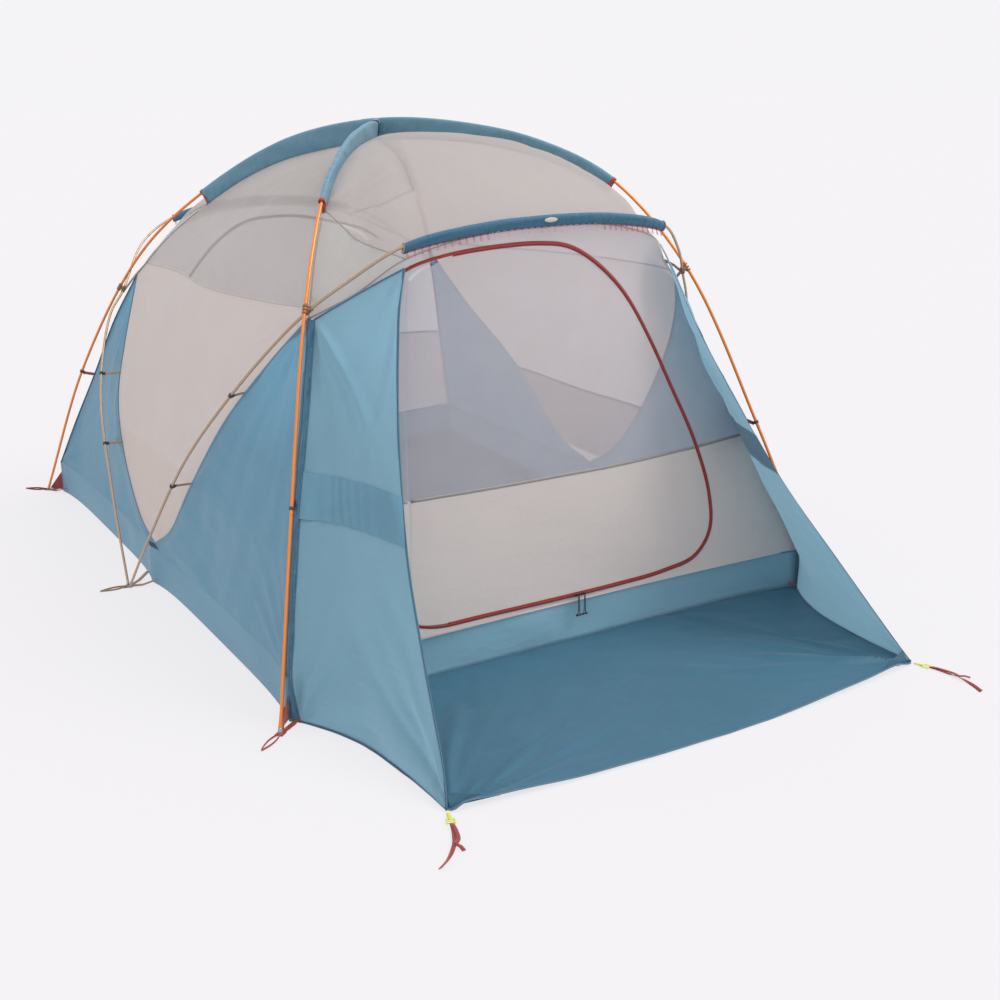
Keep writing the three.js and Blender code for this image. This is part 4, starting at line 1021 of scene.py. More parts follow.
def add_hinge_fold(end, wall, paints):
    """Strip of the wall's own cloth that the door folds along, sewn to both."""
    low, high = mm(DOOR[end]["hinge"][:2]) * [-end, 1]
    up_hinge = unit(high - low)
    across = np.array([up_hinge[1], -up_hinge[0]]) * -end
    offsets = np.linspace(-0.0065, 0.0090, 9)
    flat = low + (high - low) * np.linspace(0, 1, 70)[:, None, None] + across * offsets[None, :, None]
    grid = wall.at(flat[:, :, 0], flat[:, :, 1], -0.0012)
    fold = Shape().grid(grid, 0, flat).piece(f"{ENDS[end]}_door_hinge_fold", paints, None, "mesh_grey")
    cut_by_plane(fold, (0, 0, MESH_FOOT), (0, 0, 1), 1)
    line = unit(grid[-1, 4] - grid[0, 4])
    width = (grid[:, -1] - grid[:, 0]).mean(axis=0)
    width -= line * width.dot(line)
    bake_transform(fold)


def add_zip(end, wall):
    """Red coil in its tape: half of the tape is sewn to the wall and half to the door."""
    door = DOOR[end]
    track = Curve(mm(door["zip_head"] + door["rim"]) * [-end, 1]).line(500)
    track = even(track, 420)
    ahead = unit(np.gradient(track, axis=0))
    aside = np.stack([-ahead[:, 1], ahead[:, 0]], axis=1)
    halfway = track[210] - DOOR_MIDDLE * [-end, 1]
    if ((halfway + aside[210] * 0.1) ** 2).sum() < (halfway**2).sum():
        aside = -aside
    face = np.array([0, end, 0.08])

    def strip(offset, lift):
        flat = track + aside * offset
        return wall.at(flat[:, 0], flat[:, 1], lift)

    on_wall = Shape().sweep(strip(0.0042, 0.0025), flat_section(0.0042), face)
    coil_section = [[-0.0034, -0.001], [0.0034, -0.001], [0.0032, 0.0012], [0.0012, 0.0024], [0, 0.0016],
                    [-0.0012, 0.0024], [-0.0032, 0.0012]]
    on_wall.sweep(strip(0.0, 0.0045), coil_section, face, 1)
    on_wall.piece(f"{ENDS[end]}_zip_coil", [ZIP_TAPE, COIL], slot="zip_red", stands_for=[f"{ENDS[end]}_zip"])
    keep = slice(26, 404)
    on_door = Shape().sweep(strip(-0.0050, 0.002)[keep], flat_section(0.0035), face)
    on_door.piece(f"{ENDS[end]}_zip_door_tape", ZIP_TAPE, f"{ENDS[end]}_door_leaf", "zip_red")


def add_sliders():
    for end in (FRONT, BACK):
        for side in (LEFT, RIGHT):
            name = f"{ENDS[end]}_slider_{SIDES[side]}"
            low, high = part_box(name)
            middle = np.array((low + high) / 2)
            back_y = high.y if end == FRONT else low.y
            face = np.array([0, end, 0])
            shape = Shape()
            centre = np.array([middle[0], back_y + end * 0.0018, middle[2]])
            x = np.linspace(-0.0105, 0.0105, 13)
            nose = -side * np.sign(x)
            swell = 0.0048 - 0.0012 * np.cos(x / 0.0105 * math.pi * 0.9) * nose * 0.5
            path = centre + np.stack([x, 0 * x, 0 * x], axis=1)
            for out in (-0.0004, 0.0018):
                outline = ((-1, -0.0006), (1, -0.0006), (0.9, 0.0006), (-0.9, 0.0006))
                plate = np.stack([np.stack([swell * k, 0 * swell + z], 1) for k, z in outline], axis=1)
                shape.sweep(path + face * out, plate, face)
            reach = abs(low.y - high.y)
            angle = np.linspace(0, math.pi, 15)
            rise = end * (0.0015 + (reach - 0.0035) * np.sin(angle))
            arch = centre + np.stack([-0.006 * np.cos(angle), rise, 0 * angle], axis=1)
            shape.tube(arch, 0.0011, 8, up=np.array([0, 0.3, 1]))
            shape.piece(name + "_metal", BLACK, f"{name}_body", "slider_black", [name])
            if end == FRONT:
                add_pull(side)


def add_pull(side):
    """Thin cord looped through the slider's arch, into a tapered toggle."""
    name = f"front_zip_pull_{SIDES[side]}"
    low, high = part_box(name)
    x, front = (low.x + high.x) / 2, low.y
    top, foot = high.z, low.z
    shape = Shape()
    run = np.linspace(0, 1, 14)
    for lean in (-1, 1):
        z = top - 0.0045 - run * (top - foot - 0.0085)
        y = front + 0.0035 + 0.001 * np.sin(run * 9 + lean)
        xs = x + lean * (0.0012 + 0.0032 * run)
        shape.tube(np.stack([xs, y, z], axis=1), 0.0016, 8, up=np.array([0, 1, 0.2]))
    angle = np.linspace(-0.4, math.pi + 0.6, 12)
    pin_y = high.y - 0.0045
    hook_y, hook_z = pin_y - 0.0042 * np.cos(angle), top - 0.0055 + 0.0046 * np.sin(angle)
    hook = np.stack([x + 0 * angle, hook_y, hook_z], axis=1)
    shape.tube(hook, 0.0011, 8, up=np.array([1, 0.1, 0]))
    half = 0.0125 * np.array([-1, -0.92, -0.6, -0.3, 0.3, 0.6, 0.92, 1])
    toggle = np.stack([x + half, front + 0.004 + 0 * half, foot + 0.0042 + 0 * half], axis=1)
    shape.tube(toggle, np.array([0.0024, 0.0038, 0.0044, 0.0034, 0.0034, 0.0044, 0.0038, 0.0024]), 14, 1)
    shape.piece(name + "_cord", [CORD_BLACK, TOGGLE], f"front_pull_{SIDES[side]}", "pull_black", [name])


# ---------------------------------------------------------------- pole sleeves
FOLD_SHARE = 0.35


def fin(curve, radius, start, stop, reach, seed, count=90, side_sag=0.003):
    """Cloth folded over a pole and drawn down to a seam line: an open sheet.

    reach gives the seam line under the pole's points. The middle FOLD_SHARE of the columns lie round
    the pole, and the rest hang down its two sides.
    """
    t = np.linspace(start, stop, count)
    centre = curve.at(t)
    seam = reach(t, centre)
    down = unit(seam - centre)
    depth = np.linalg.norm(seam - centre, axis=1)
    tangent = unit(np.gradient(centre, axis=0))
    across = unit(np.cross(tangent, down))
    rng = np.random.default_rng(seed)
    phase = rng.uniform(0, 6.28, 8)
    s = along(centre)
    loop = radius + 0.005
    columns = []
    for turn in np.linspace(-1, 1, 25):
        face = np.sign(turn)
        drop = max(abs(turn) - FOLD_SHARE, 0) / 0.65
        if abs(turn) <= FOLD_SHARE:
            angle = turn / FOLD_SHARE * math.pi / 2
            a, u = loop * np.sin(angle) + 0 * s, loop * np.cos(angle) + 0 * s
        else:
            a = face * (loop * (1 - drop) ** 0.6 + 0.0012)
            a = a + 0 * s
            u = -depth * drop
        wave = sum(np.sin(s * (14 + 9 * k) + phase[k] + 2.2 * drop + face * k) / (1 + 0.5 * k)
                   for k in range(5))
        a = a + side_sag * wave * math.sin(math.pi * min(drop + 0.12, 1)) * 0.8
        columns.append(centre + across * a[:, None] - down * u[:, None])
    return np.stack(columns, axis=1), down, across, centre


def add_ridge_sleeve(side, end):
    curve = pole_over(side, end)
    crease = RIDGE[side, end]
    share, height = (0.53, 1690) if end == FRONT else (0.452, 1588)
    outer = curve.nearest(on_diagonal(side, end, [[share, height]])[0], 1201)
    inner = curve.nearest(np.array([0, 0, PEAK]), 1201)
    inner += 0.004 if outer > inner else -0.004
    fine = crease.line(1200)

    def to_crease(t, centre):
        return np.array([fine[np.argmin(np.linalg.norm(fine - p, axis=1))] for p in centre])

    grid, down, across, centre = fin(curve, POLE_R, inner, outer, to_crease, 90 + 3 * side + end)
    name = f"ridge_sleeve_{TAG[side, end]}"
    sleeve = Shape().grid(grid).piece(name + "_cloth", SLEEVE_BLUE, slot="fabric_blue", stands_for=[name])
    seam = even(crease.part(0.4, 0.985).line(200), 90)
    add_seam_tape(f"ridge_seam_{TAG[side, end]}", seam, 0.014, TAPE_BLUE, "fabric_blue")
    low = even(crease.part(0, 0.36).line(60), 40)
    add_seam_tape(f"ridge_foot_seam_{TAG[side, end]}", low, 0.006, TAPE_GREY, "mesh_grey")
    way = unit(curve.at(outer)[0] - curve.at(outer + (inner - outer) * 0.02)[0])
    add_sleeve_end(TAG[side, end], grid[-1], centre[-1], down[-1], across[-1], way)


def add_sleeve_end(tag, rim, centre, down, across, way):
    """Red webbing round the pole at a sleeve's end, with a cheek down each side to the seam."""
    over, seam = rim[12], rim[0]
    cheek = Shape()
    for lean in (-1, 1):
        middle = (over + seam) / 2 + across * lean * 0.008
        strip = even(np.array([over - down * 0.001, middle, seam]), 16)
        cheek.tape(strip + way * 0.002, 0.020, across * lean + way * 0.8)
    angle = np.linspace(0, 2 * math.pi, 25)
    collar = centre + way * 0.001 + (POLE_R + 0.0062) * arc(angle, across, -down)
    cheek.sweep(collar, flat_section(0.006, 0.0016), collar - centre)
    cheek.piece(f"sleeve_end_{tag}", WEB_RED, slot="webbing_red")


def add_brow_sleeve(end):
    curve = BROW[end]
    half = mm([565, 1330, 1563] if end == FRONT else [494, 1430, 1410])
    limits = [curve.nearest(half * [s, end, 1], 1201) for s in (LEFT, RIGHT)]
    drop = 0.034 if end == FRONT else 0.030
    lean = np.array([0, -end * 0.35, -0.94])

    def below(t, centre):
        taper = 1 - 0.25 * np.abs(np.linspace(-1, 1, len(t))) ** 6
        return centre + lean * (drop * taper)[:, None]

    grid = fin(curve, BROW_R, min(limits), max(limits), below, 120 + end, 110, 0.002)[0]
    name = f"brow_sleeve_{ENDS[end]}"
    sleeve = Shape().grid(grid).piece(
        name + "_cloth", SLEEVE_DEEP, slot="fabric_deep_blue", stands_for=[name])
    edge = grid[:, 0]
    hem = Shape().tape(edge, 0.009, [0, end, 0.3])
    hem.piece(f"brow_sleeve_hem_{ENDS[end]}", TAPE_DEEP, slot="fabric_deep_blue")
    binding = Shape()
    for column in (grid[0], grid[-1]):
        binding.tape(even(column, 30), 0.010, unit(column.mean(axis=0) - [0, end * 1.3, 1.5]))
    binding.piece(f"brow_sleeve_binding_{ENDS[end]}", WEB_BRONZE, slot="webbing_bronze")
    # Pale oval of cloth at the middle of the sleeve; what it stands for is not known.
    at = curve.at(0.5)[0] + [0, end * 0.0125, -0.007]
    tab = Shape().ball(at, np.array([0.028, 0.0035, 0.009]), 0, 10, 20)
    tab.piece(f"brow_sleeve_pale_oval_{ENDS[end]}", CLOTH_PALE, slot="fabric_pale_grey")
    add_lacing(end, edge)


def add_lacing(end, edge):
    """Elastic cord laced in loops between the brow sleeve's hem and the head of the wall."""
    hem = even(edge if edge[0, 0] < edge[-1, 0] else edge[::-1], 400)
    length = along(hem)[-1]
    pitch, drop = 0.028, 0.021
    count = round(length / pitch)
    turn = np.linspace(0, 2 * math.pi * count, count * 16)
    s = np.linspace(0, length, len(turn)) + 0.33 * pitch * np.sin(turn)
    s = np.clip(s, 0, length)
    top = np.stack([np.interp(s, along(hem), hem[:, k]) for k in range(3)], axis=1)
    low = drop * (1 - np.cos(turn)) / 2
    path = top + np.stack([0 * s, end * (0.004 + 0.35 * low), -low], axis=1)
    near_end = np.abs(path[:, 0]) > 0.42 * np.abs(path[:, 0]).max()
    edges = np.flatnonzero(np.diff(near_end.astype(int))) + 1
    shape = Shape()
    for part in np.split(np.arange(len(path)), edges):
        if len(part) > 3:
            shape.tube(path[part], 0.0011, 6, int(not near_end[part[1]]), up=np.array([0, 1, 0.15]))
    shape.piece(f"brow_lacing_{ENDS[end]}", [CORD_RED, CORD_PINK], slot="webbing_red")


def add_peak_cap():
    """Cap of cloth over the crossing of the main poles, sewn to the ends of the four ridge sleeves."""
    arm = math.atan2(FOOT_Y, FOOT_X)
    arms = np.array([arm, math.pi - arm, arm - math.pi, -arm])
    angle = np.linspace(-math.pi, math.pi, 160, endpoint=False)
    off = (angle[:, None] - arms + math.pi) % (2 * math.pi) - math.pi
    off = off[np.arange(160), np.argmin(np.abs(off), axis=1)]
    reach = 0.030 + 0.045 * np.exp(-((off / 0.2) ** 2))
    share = np.linspace(0.01, 1, 26)[:, None]
    radius = share * reach
    beside = np.abs(radius * np.sin(off))
    room = POLE_R + 0.0075
    round_pole = room * (1 - np.sqrt(1 - np.minimum(beside / room, 0.98) ** 2))
    drop = round_pole + 1.9 * np.maximum(beside - 0.98 * room, 0)
    top = PEAK + POLE_LIFT + POLE_R + 0.0055
    z = top - drop - 0.45 * radius**2 - 0.004 * share
    grid = np.stack([radius * np.cos(angle), radius * np.sin(angle), z], axis=2)
    cap = Shape().grid(grid, 0, grid[:, :, :2], wrap=True).piece("peak_cap", SLEEVE_BLUE, slot="fabric_blue")


# ---------------------------------------------------------------- clips and hubs
def add_clip(name, curve, radius, point, target, width, web, plastic):
    """Moulded hook over a pole, with a webbing tab sewn to the seam that it holds."""
    t = curve.nearest(point, 1201)
    centre = curve.at(t)[0]
    ahead = unit(curve.at(min(t + 0.002, 1))[0] - curve.at(max(t - 0.002, 0))[0])
    inward = unit(target - centre)
    inward = unit(inward - ahead * inward.dot(ahead))
    aside = np.cross(ahead, inward)
    shape = Shape()
    angle = np.linspace(-2.35, 2.35, 22)
    hook = centre + (radius + 0.0022) * arc(angle, -inward, aside)
    neck = centre + inward * 0.016
    first, last = hook[0] + inward * 0.006 + aside * 0.002, hook[-1] + inward * 0.006 - aside * 0.002
    section = [[-0.0014, -0.0055], [-0.0014, 0.0055], [0.0016, 0.0048], [0.0016, -0.0048]]
    shape.sweep(np.vstack([neck, first, hook, last, neck]), section, ahead, 1)
    reach = width / 2 + 0.002
    bar_path = centre + inward * 0.017 + ahead * np.linspace(-reach, reach, 5)[:, None]
    shape.tube(bar_path, 0.0022, 8, 1, up=inward)
    tab = even(np.array([centre + inward * 0.014, target + unit(target - centre) * 0.002]), 14)
    sag = np.sin(np.linspace(0, math.pi, 14))[:, None] * aside * 0.0012
    for lean in (-1, 1):
        shape.sweep(tab + sag + aside * 0.0009 * lean, flat_section(width / 2), aside)
    slot = "webbing_red" if "leg" in name else "clip_plastic"
    shape.piece(name + "_hook", [web, plastic], slot=slot, stands_for=[name])


def add_clips():
    for side, end in KINDS:
        seam = LEG[side, end]
        height = 709 if end == FRONT else 674
        hold = seam.at(seam.nearest(on_diagonal(side, end, [[0.82, height]])[0]))[0]
        out = unit(np.array([side * FOOT_X, end * FOOT_Y, 0.0]))
        add_clip(f"leg_clip_{TAG[side, end]}", pole_over(side, end), POLE_R, hold + out * 0.06, hold,
                 0.014, WEB_DARK_RED, DARK_PLASTIC)
        crease = SIDE_SEAM[side, end]
        for level, t in (("lower", 0.42), ("upper", 0.7)):
            point = crease.at(t)[0]
            add_clip(f"brow_clip_{level}_{TAG[side, end]}", BROW[end], BROW_R,
                     point + [side * 0.06, 0, 0], point, 0.012, WEB_BRONZE, DARK_PLASTIC)


def add_hubs():
    """Moulded saddle that snaps over both poles where they cross, tied to the canopy by two straps."""
    for side, end in KINDS:
        main, brow = pole_over(side, end), BROW[end]
        t = np.linspace(0, 1, 1201)
        on_brow = brow.at(t)
        on_brow = on_brow[(np.sign(on_brow[:, 0]) == side) & (on_brow[:, 2] > 0.7)]
        on_main = main.at(t)
        gaps = np.linalg.norm(on_brow[:, None] - on_main[None], axis=2)
        i, j = np.unravel_index(np.argmin(gaps), gaps.shape)
        brow_at, main_at = on_brow[i], on_main[j]
        main_run = unit(on_main[min(j + 3, len(on_main) - 1)] - on_main[max(j - 3, 0)])
        brow_run = unit(on_brow[min(i + 3, len(on_brow) - 1)] - on_brow[max(i - 3, 0)])
        out = unit(main_at - brow_at)
        shape = Shape()
        section = [[-0.004, -0.0015], [0.004, -0.0015], [0.0032, 0.0018], [-0.0032, 0.0018]]
        poles = ((main_at, main_run, POLE_R, 0), (brow_at, brow_run, BROW_R, math.pi))
        for at, run, radius, turned in poles:
            aside = unit(np.cross(run, out))
            angle = np.linspace(-2.5, 2.5, 24) + turned
            for place in (-0.013, 0.0, 0.013):
                ring = at + run * place + (radius + 0.0024) * arc(angle, out, aside)
                shape.sweep(ring, section, ring - at - run * place)
        shape.ball((main_at + brow_at) / 2, np.array([0.010, 0.010, 0.010]))
        hold = RIDGE[side, end].at(0)[0]
        for k, foot in enumerate((hold, RIDGE[side, end].at(0.07)[0])):
            strap = even(np.array([brow_at - out * 0.006, (brow_at + foot) / 2 + UP * 0.002, foot]), 16)
            shape.tape(strap, 0.012, np.cross(strap[-1] - strap[0], main_run), 1)
        shape.piece(f"pole_hub_{TAG[side, end]}_moulding", [HUB_PLASTIC, WEB_BRONZE], slot="clip_plastic",
                    stands_for=[f"pole_hub_{TAG[side, end]}"])


# ---------------------------------------------------------------- tub and porch
def add_tub():
    u = np.linspace(0, 1, 24, endpoint=False)
    ring = np.vstack([
        tub_side(RIGHT, BACK, u, 0.0), tub_end(RIGHT, BACK, 1 - u, 0.0),
        tub_end(LEFT, BACK, u, 0.0), tub_side(LEFT, BACK, 1 - u, 0.0),
        tub_side(LEFT, FRONT, u, 0.0), tub_end(LEFT, FRONT, 1 - u, 0.0),
        tub_end(RIGHT, FRONT, u, 0.0), tub_side(RIGHT, FRONT, 1 - u, 0.0)])
    phase = np.random.default_rng(5).uniform(0, 6.28, 5)
    s = along(np.vstack([ring, ring[:1]]))[:-1]
    wave = sum(np.sin(s * (5 + 4 * k) + phase[k]) / (1 + 0.4 * k) for k in range(5))
    rows = []
    for share in np.linspace(0, 1, 9):
        lean = 0.0045 * share - 0.0035 * math.sin(share * math.pi) * wave
        scale = 1 - lean[:, None] / np.linalg.norm(ring[:, :2], axis=1)[:, None]
        level = ring.copy()
        level[:, :2] *= scale
        level[:, 2] = GROUND_CLOTH + share * (TUB_WALL - GROUND_CLOTH)
        rows.append(level)
    grid = np.stack(rows)
    uv = np.stack([np.broadcast_to(s, grid.shape[:2]), grid[:, :, 2]], axis=2)
    shape = Shape().grid(grid, 0, uv, wrap=True)
    inside = np.linspace(1, 0.002, 30)
    flat = ring[None] * inside[:, None, None]
    bump = sum(np.sin(flat[:, :, 0] * (4 + 2 * k) + flat[:, :, 1] * (3 + k) + phase[k]) for k in range(5))
    flat[:, :, 2] = GROUND_CLOTH + 0.0008 * (1 + bump / 5) * (inside[:, None] < 0.97)
    shape.grid(flat, 1, flat[:, :, :2], wrap=True)
    paints = [CLOTH_TUB_FRONT_LIT, CLOTH_DEEP, CLOTH_TUB_SIDE]
    tub = shape.piece("tub_cloth", paints, slot="fabric_deep_blue", stands_for=["tub_floor"])
    # The front end of the tub wall keeps the lighter copy, which is painted light; the rest of the wall gets
    # the side blue.
    for face in tub.data.polygons:
        in_porch = face.center.y < 0 and abs(face.normal.y) > 0.7
        if face.material_index == 0 and not in_porch:
            face.material_index = 2
    top = even(np.vstack([grid[-1], grid[-1, :1]]), 400)
    tape = Shape().tape(top * [1.0012, 1.0012, 1], 0.008, outward(top) * [1, 1, 0.05])
    tape.piece("tub_seam_tape", TAPE_BLUE, slot="fabric_blue")


PORCH_SLACK = {LEFT: 1.0, RIGHT: 0.55}  # the left side of the porch hangs looser


def add_porch_side(side):
    """Side of the porch, from its staked hem up to the brow, with a band, hems and a fold at the leg."""
    slack = PORCH_SLACK[side]
    bow_up = mm([[0, 0, 0], [0, 0, 3], [0, 0, 4], [0, 0, 3], [0, 0, 0]])
    hem = Curve(np.array([[side * x, -y, 6] for x, y in HEM]) / 1000)
    free = Curve(placed(side, FRONT, FREE_EDGE[side])[::-1])
    leg = LEG[side, FRONT].line(9) + np.array([-side * 0.010, -0.026, 0])
    seam = Curve(np.vstack([[side * 1.150, -1.578, 0.006], leg]))
    head = Curve(np.linspace(seam.at(1)[0], free.at(1)[0], 5) + bow_up)
    cut = coons(hem, head, seam, free, 150, 110)
    pulls = [(free.at(0)[0], 10, 0.8, 0.014 * slack, 0.30), (seam.at(1)[0], 9, 1.1, 0.016 * slack, 0.42),
             (free.at(1)[0], 8, 0.9, 0.012 * slack, 0.35), (seam.at(0)[0], 8, 0.5, 0.013 * slack, 0.6),
             (free.at(0.5)[0], 4, 0.3, 0.006 * slack, 0.9)]
    grid = wrinkled(cut, pulls, 0.004 * slack, 150 + side)
    name = f"porch_side_{SIDES[side]}"
    panel = Shape().grid(grid, 0, grid[:, :, 1:]).piece(
        name + "_cloth", CLOTH_PORCH, slot="fabric_porch_blue", stands_for=[name])
    add_porch_band(side, grid, slack)
    trim = Shape()
    for line in (grid[:, -1], grid[0], grid[-1], grid[:, 0]):
        path = even(line, 100)
        trim.tape(path, 0.010, outward(path) * [1, 0.4, 1])
    trim.piece(f"porch_hems_{SIDES[side]}", TAPE_DEEP, slot="fabric_porch_blue")
    add_porch_fold(side, grid, slack)


def add_porch_band(side, grid, slack):
    """Pleated band that runs across a porch side."""
    normal = grid_normals(grid)
    if (normal[75, 55] * [side, 0, 0]).sum() < 0:
        normal = -normal
    s = grid_uv(grid)[:, :, 0]
    pleat = slack**2 * (0.003 + 0.0035 * np.abs(np.sin(s * 60 + 2 * np.sin(s * 17))) ** 2)
    band = Shape().grid(grid + normal * pleat[:, :, None], 0, grid[:, :, 1:])
    band = band.piece(f"porch_band_{SIDES[side]}", CLOTH_BAND, slot="fabric_blue")
    keep_between(band, [((side * 1.13, 0, z), (-BAND_SLOPE * side * way, 0, way))
                        for z, way in ((BAND_HEAD, 1), (BAND_FOOT, -1))])


def add_porch_fold(side, grid, slack):
    """Crumpled strip that joins a porch side to the tent's leg seam, coloured deep blue as painted shade in
    the fold.
    """
    corner = np.vstack([[[side * CORNER_X, -CORNER_Y, 0.006]], LEG[side, FRONT].line(60)])
    behind, before = even(corner, 90), even(grid[:, 0], 90)
    share = np.linspace(0, 1, 9)[None, :, None]
    out = unit(np.array([side * 0.6, -1.0, 0.0]))
    crumple = 0.006 * np.sin(np.linspace(0, 40, 90)) + 0.004 * np.sin(np.linspace(0, 93, 90))
    bulge = (slack**2 * (0.010 + crumple))[:, None, None] * np.sin(share * math.pi) * out
    flap = behind[:, None] * (1 - share) + before[:, None] * share + bulge
    # The fold's deep blue is painted shade.
    fold = Shape().grid(flap).piece(f"porch_seam_fold_{SIDES[side]}", CLOTH_FOLD_SHADED, slot="fabric_deep_blue")


def add_porch_floor():
    """Ground cloth of the porch, from the tub out to the bowed front edge."""
    bow = 0.062
    u = np.array([-1, -0.5, 0, 0.5, 1])
    forward = PORCH_FRONT + bow * (1 - u * u) - 0.014
    front = Curve(np.stack([u * (PORCH_HALF - 0.010), -forward, 0 * u], axis=1))
    v = np.sin(np.linspace(-math.pi / 2, math.pi / 2, 21))
    tub_foot = np.array([tub_end(np.sign(k) or 1, FRONT, np.abs(k), 0.0) for k in v])
    back = Curve(tub_foot + [0, 0.003, 0])
    line = {}
    for side, t in ((LEFT, 0), (RIGHT, 1)):
        middle = np.array([[side * (x + 2), -y, 0] for x, y in HEM[:-1]]) / 1000
        line[side] = Curve(np.vstack([back.at(t), middle, front.at(t)]))
    cut = coons(back, front, line[LEFT], line[RIGHT], 110, 170)
    pulls = [(front.at(0)[0], 11, 0.8, 0.016, 0.7), (front.at(1)[0], 11, 0.8, 0.014, 0.7)]
    lifted = wrinkled(cut, pulls, 0.0022, 171, False)
    grid = cut.copy()
    grid[:, :, 2] = GROUND_CLOTH + np.abs(lifted[:, :, 2])
    floor = Shape().grid(grid, 0, grid[:, :, :2]).piece(
        "porch_floor_cloth", CLOTH_DEEP, slot="fabric_deep_blue", stands_for=["porch_floor"])
    trim = Shape()
    for row in (grid[-1], grid[:, 0], grid[:, -1]):
        trim.tape(even(row, 120) + [0, 0, 0.0012], 0.008, UP)
    trim.piece("porch_floor_hems", TAPE_DEEP, slot="fabric_deep_blue")


def add_corner_patches():
    """Doubled triangle of cloth at each staked corner of the porch."""
    for side in (LEFT, RIGHT):
        tip = np.array([side * 0.990, -2.352, 0.010])
        low = np.array([side * 0.820, -2.372, 0.008])
        high = Curve(placed(side, FRONT, FREE_EDGE[side])).at(0.93)[0]
        rows = []
        for k in np.linspace(0, 1, 12):
            a, b = tip + (low - tip) * k, tip + (high - tip) * k
            rows.append(np.linspace(a, b, 12) + np.array([-side * 0.004, -0.002, 0.002]))
        grid = np.array(rows)
        name = f"porch_corner_patch_{SIDES[side]}"
        patch = Shape().grid(grid).piece(name, CLOTH_PATCH, slot="fabric_deep_blue")


# ---------------------------------------------------------------- feet and stakes
def webbing_loop(shape, centre, ahead, length, width, lift):
    """Stake loop: webbing on edge out to its bight and back."""
    aside = np.array([-ahead[1], ahead[0], 0])
    angle = np.pi * (1 - np.linspace(0, 1, 41) * 2) * 0.92
    reach = 0.008 + length / 2 * (1 + np.cos(angle))
    spread = 0.012 * np.sin(angle) * (1 - 0.3 * (reach / length) ** 2)
    rise = lift + 0.001 * np.sin(3 * angle)
    path = centre + ahead * reach[:, None] + aside * spread[:, None] + UP * rise[:, None]
    shape.sweep(path, flat_section(0.0007, width), UP)


def add_foot(name, foot, anchors, ahead, paint, slot, holes):
    shape = Shape()
    centre = np.array([foot[0], foot[1], 0.0026])
    for p in anchors:
        halfway = [(p[0] + foot[0]) / 2, (p[1] + foot[1]) / 2, 0.008]
        run = even(np.array([[p[0], p[1], 0.030], halfway, centre]), 18)
        shape.tape(run, 0.020, np.array([0.15 * ahead[0], 0.15 * ahead[1], 1]), thick=0.0016)
    wide = 0.016 if len(holes) == 1 else 0.026
    pad = even(np.array([centre - ahead * wide, centre + ahead * wide]), 8)
    shape.tape(pad, 0.030, UP, thick=0.0026)
    webbing_loop(shape, centre, ahead, 0.118, 0.0075, 0.0018)
    for hole in holes:
        angle = np.linspace(0, 2 * math.pi, 25)
        for radius, height in ((0.0098, 0.0030), (0.0078, 0.0042)):
            x, y = hole[0] + radius * np.cos(angle), hole[1] + radius * np.sin(angle)
            ring = np.stack([x, y, height + 0 * angle], axis=1)
            shape.tube(ring, 0.0011, 8, 1)
    shape.piece(name + "_straps", [paint, STEEL], slot=slot, stands_for=[name])


def add_feet():
    for side, end in KINDS:
        ahead = np.array([side * 0.78, end * 0.62, 0.0])
        foot = np.array([side * FOOT_X, end * FOOT_Y])
        insets = ((0.002, 0.062), (0.062, 0.002))
        anchors = [(side * (CORNER_X - x), end * (CORNER_Y - y)) for x, y in insets]
        paint = WEB_RED if end == FRONT else WEB_DARK_RED
        add_foot(f"foot_webbing_{TAG[side, end]}", foot, anchors, unit(ahead), paint, "webbing_red", [foot])
        gusset = Shape()
        corner = np.array([side * (CORNER_X - 0.002), end * (CORNER_Y - 0.004), 0.11])
        tip = np.array([side * (FOOT_X - 0.008), end * (FOOT_Y - 0.010), 0.012])
        low = np.array([side * (CORNER_X - 0.002), end * (CORNER_Y - 0.004), 0.012])
        rows = [np.linspace(low + (tip - low) * k, corner + (tip - corner) * k, 8)
                for k in np.linspace(0, 0.97, 14)]
        gusset.grid(np.array(rows))
        made = gusset.piece(f"corner_gusset_{TAG[side, end]}", paint, slot="webbing_red")
    for side in (LEFT, RIGHT):
        holes = [np.array([side * 1.280, end * 0.015]) for end in (FRONT, BACK)]
        anchors = [(side * 1.176, -0.06), (side * 1.176, 0.06)]
        foot, ahead = np.array([side * 1.280, 0]), np.array([side * 1.0, 0, 0])
        name = f"foot_webbing_middle_{SIDES[side]}"
        add_foot(name, foot, anchors, ahead, WEB_BRONZE, "webbing_bronze", holes)


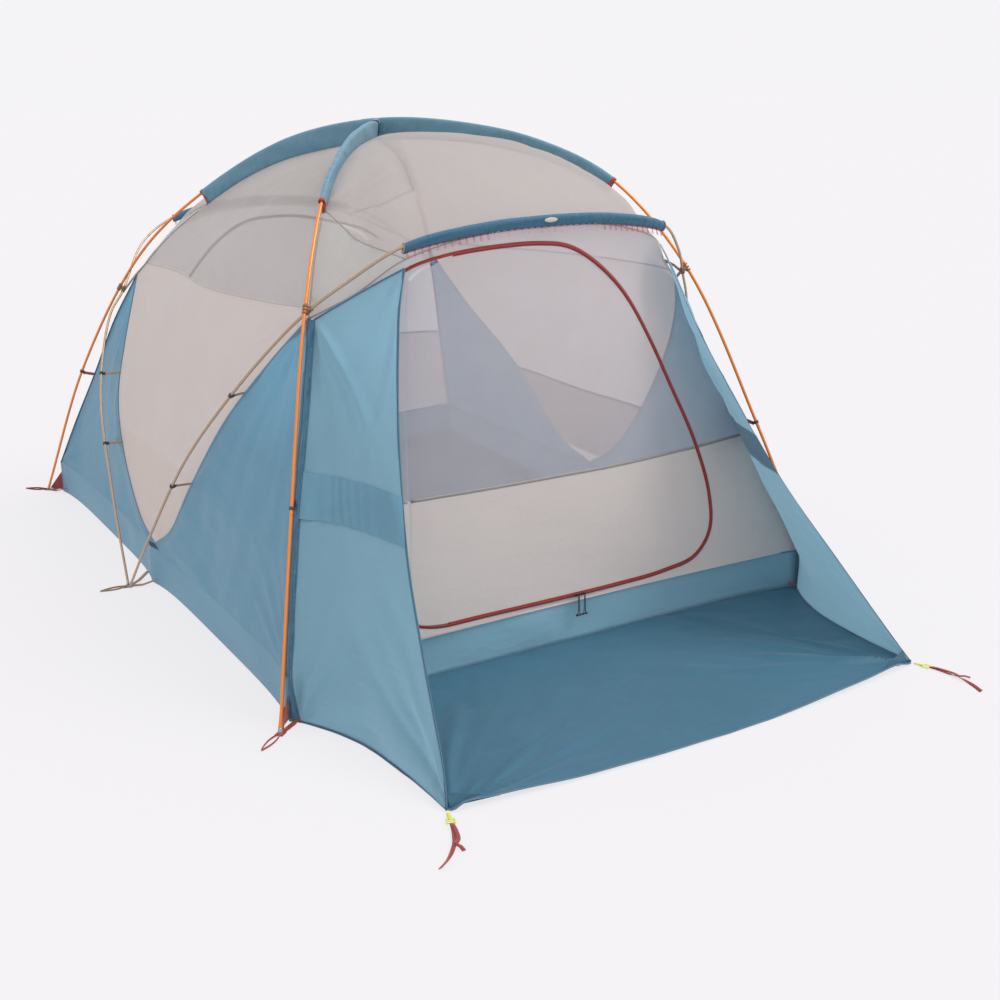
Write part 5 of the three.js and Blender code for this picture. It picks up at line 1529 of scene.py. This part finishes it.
def add_porch_stakes():
    for side in (LEFT, RIGHT):
        tag = SIDES[side]
        ahead = unit(np.array([side * 0.32, -0.95, 0]))
        beside = np.array([-ahead[1], ahead[0], 0])
        corner = np.array([side * (PORCH_HALF + 0.002), -(PORCH_FRONT - 0.010), 0.0])

        def path(*stops):
            """Curve through points given as mm ahead of the porch's corner, beside it and above it."""
            go, across, z = np.array(stops, float).T[:, :, None]
            return Curve(corner + ahead * go / 1000 + beside * across / 1000 + UP * z / 1000)

        lock = Shape()
        loop = path((2, 0, 4), (20, 0, 4.6), (36, 0, 6.2), (39.5, 0, 4.6), (36, 0, 3.0), (20, 0, 3.0),
                    (2, 0, 3.2))
        lock.sweep(loop.line(40), flat_section(0.006, 0.0012), UP, 1)
        for go, radius in ((36.5, 2.0), (47.5, 1.7), (58.5, 2.0)):
            bar = path(*((go, k, 4.6) for k in np.linspace(-12.5, 12.5, 9)))
            lock.tube(bar.points, radius / 1000, 10)
        for k in (-12.5, 12.5):
            rail = path(*((go, k, 4.6) for go in np.linspace(34, 61, 8)))
            lock.tube(rail.points, 0.0022, 10)
        name = f"porch_ladder_lock_{tag}"
        lock.piece(name + "_moulding", [YELLOW, YELLOW], f"ladder_lock_{tag}", "yellow_plastic", [name])
        strap = Shape()
        front = path((62, 0, 5), (90, -1, 5.2), (135, -6, 4.2), (190, -18, 5.8), (245, -44, 4.2),
                     (288, -76, 5))
        run = even(front.line(200), 90)
        twist = np.linspace(0, 1, 90)[:, None]
        lean = UP + beside * 0.8 * np.sin(twist * 5) * (twist > 0.35)
        section = flat_section(0.0065, 0.0014)
        strap.sweep(run, section, lean)
        back = path((64.5, 0, 6.4), (80, 2, 8.5), (110, 5, 7.5), (150, 4, 6.6), (176, -8, 7.6))
        strap.sweep(even(back.line(80), 44), section, UP)
        fork = path((176, -10, 6.5), (194, 2, 8), (214, 9, 5))
        strap.sweep(even(fork.line(40), 20), section, UP)
        strap.piece(f"porch_stake_strap_{tag}_tape", WEB_STRAP, f"stake_strap_{tag}", "webbing_red",
                    [f"porch_stake_strap_{tag}"])


# ---------------------------------------------------------------- build
add_pole("main_pole_front_left_to_back_right", MAIN_POLE[LEFT], POLE_R, ORANGE, "pole_orange")
add_pole("main_pole_front_right_to_back_left", MAIN_POLE[RIGHT], POLE_R, ORANGE, "pole_orange")
for which in (FRONT, BACK):
    add_pole(f"brow_pole_{ENDS[which]}", BROW[which], BROW_R, BRONZE, "pole_bronze")
add_tub()
add_shields()
add_corner_panels()
add_roof()
for which in (FRONT, BACK):
    add_end_wall(which)
add_sliders()
for corner_kind in KINDS:
    add_ridge_sleeve(*corner_kind)
for which in (FRONT, BACK):
    add_brow_sleeve(which)
add_peak_cap()
add_clips()
add_hubs()
for which in (LEFT, RIGHT):
    add_porch_side(which)
add_porch_floor()
add_corner_patches()
add_feet()
add_porch_stakes()
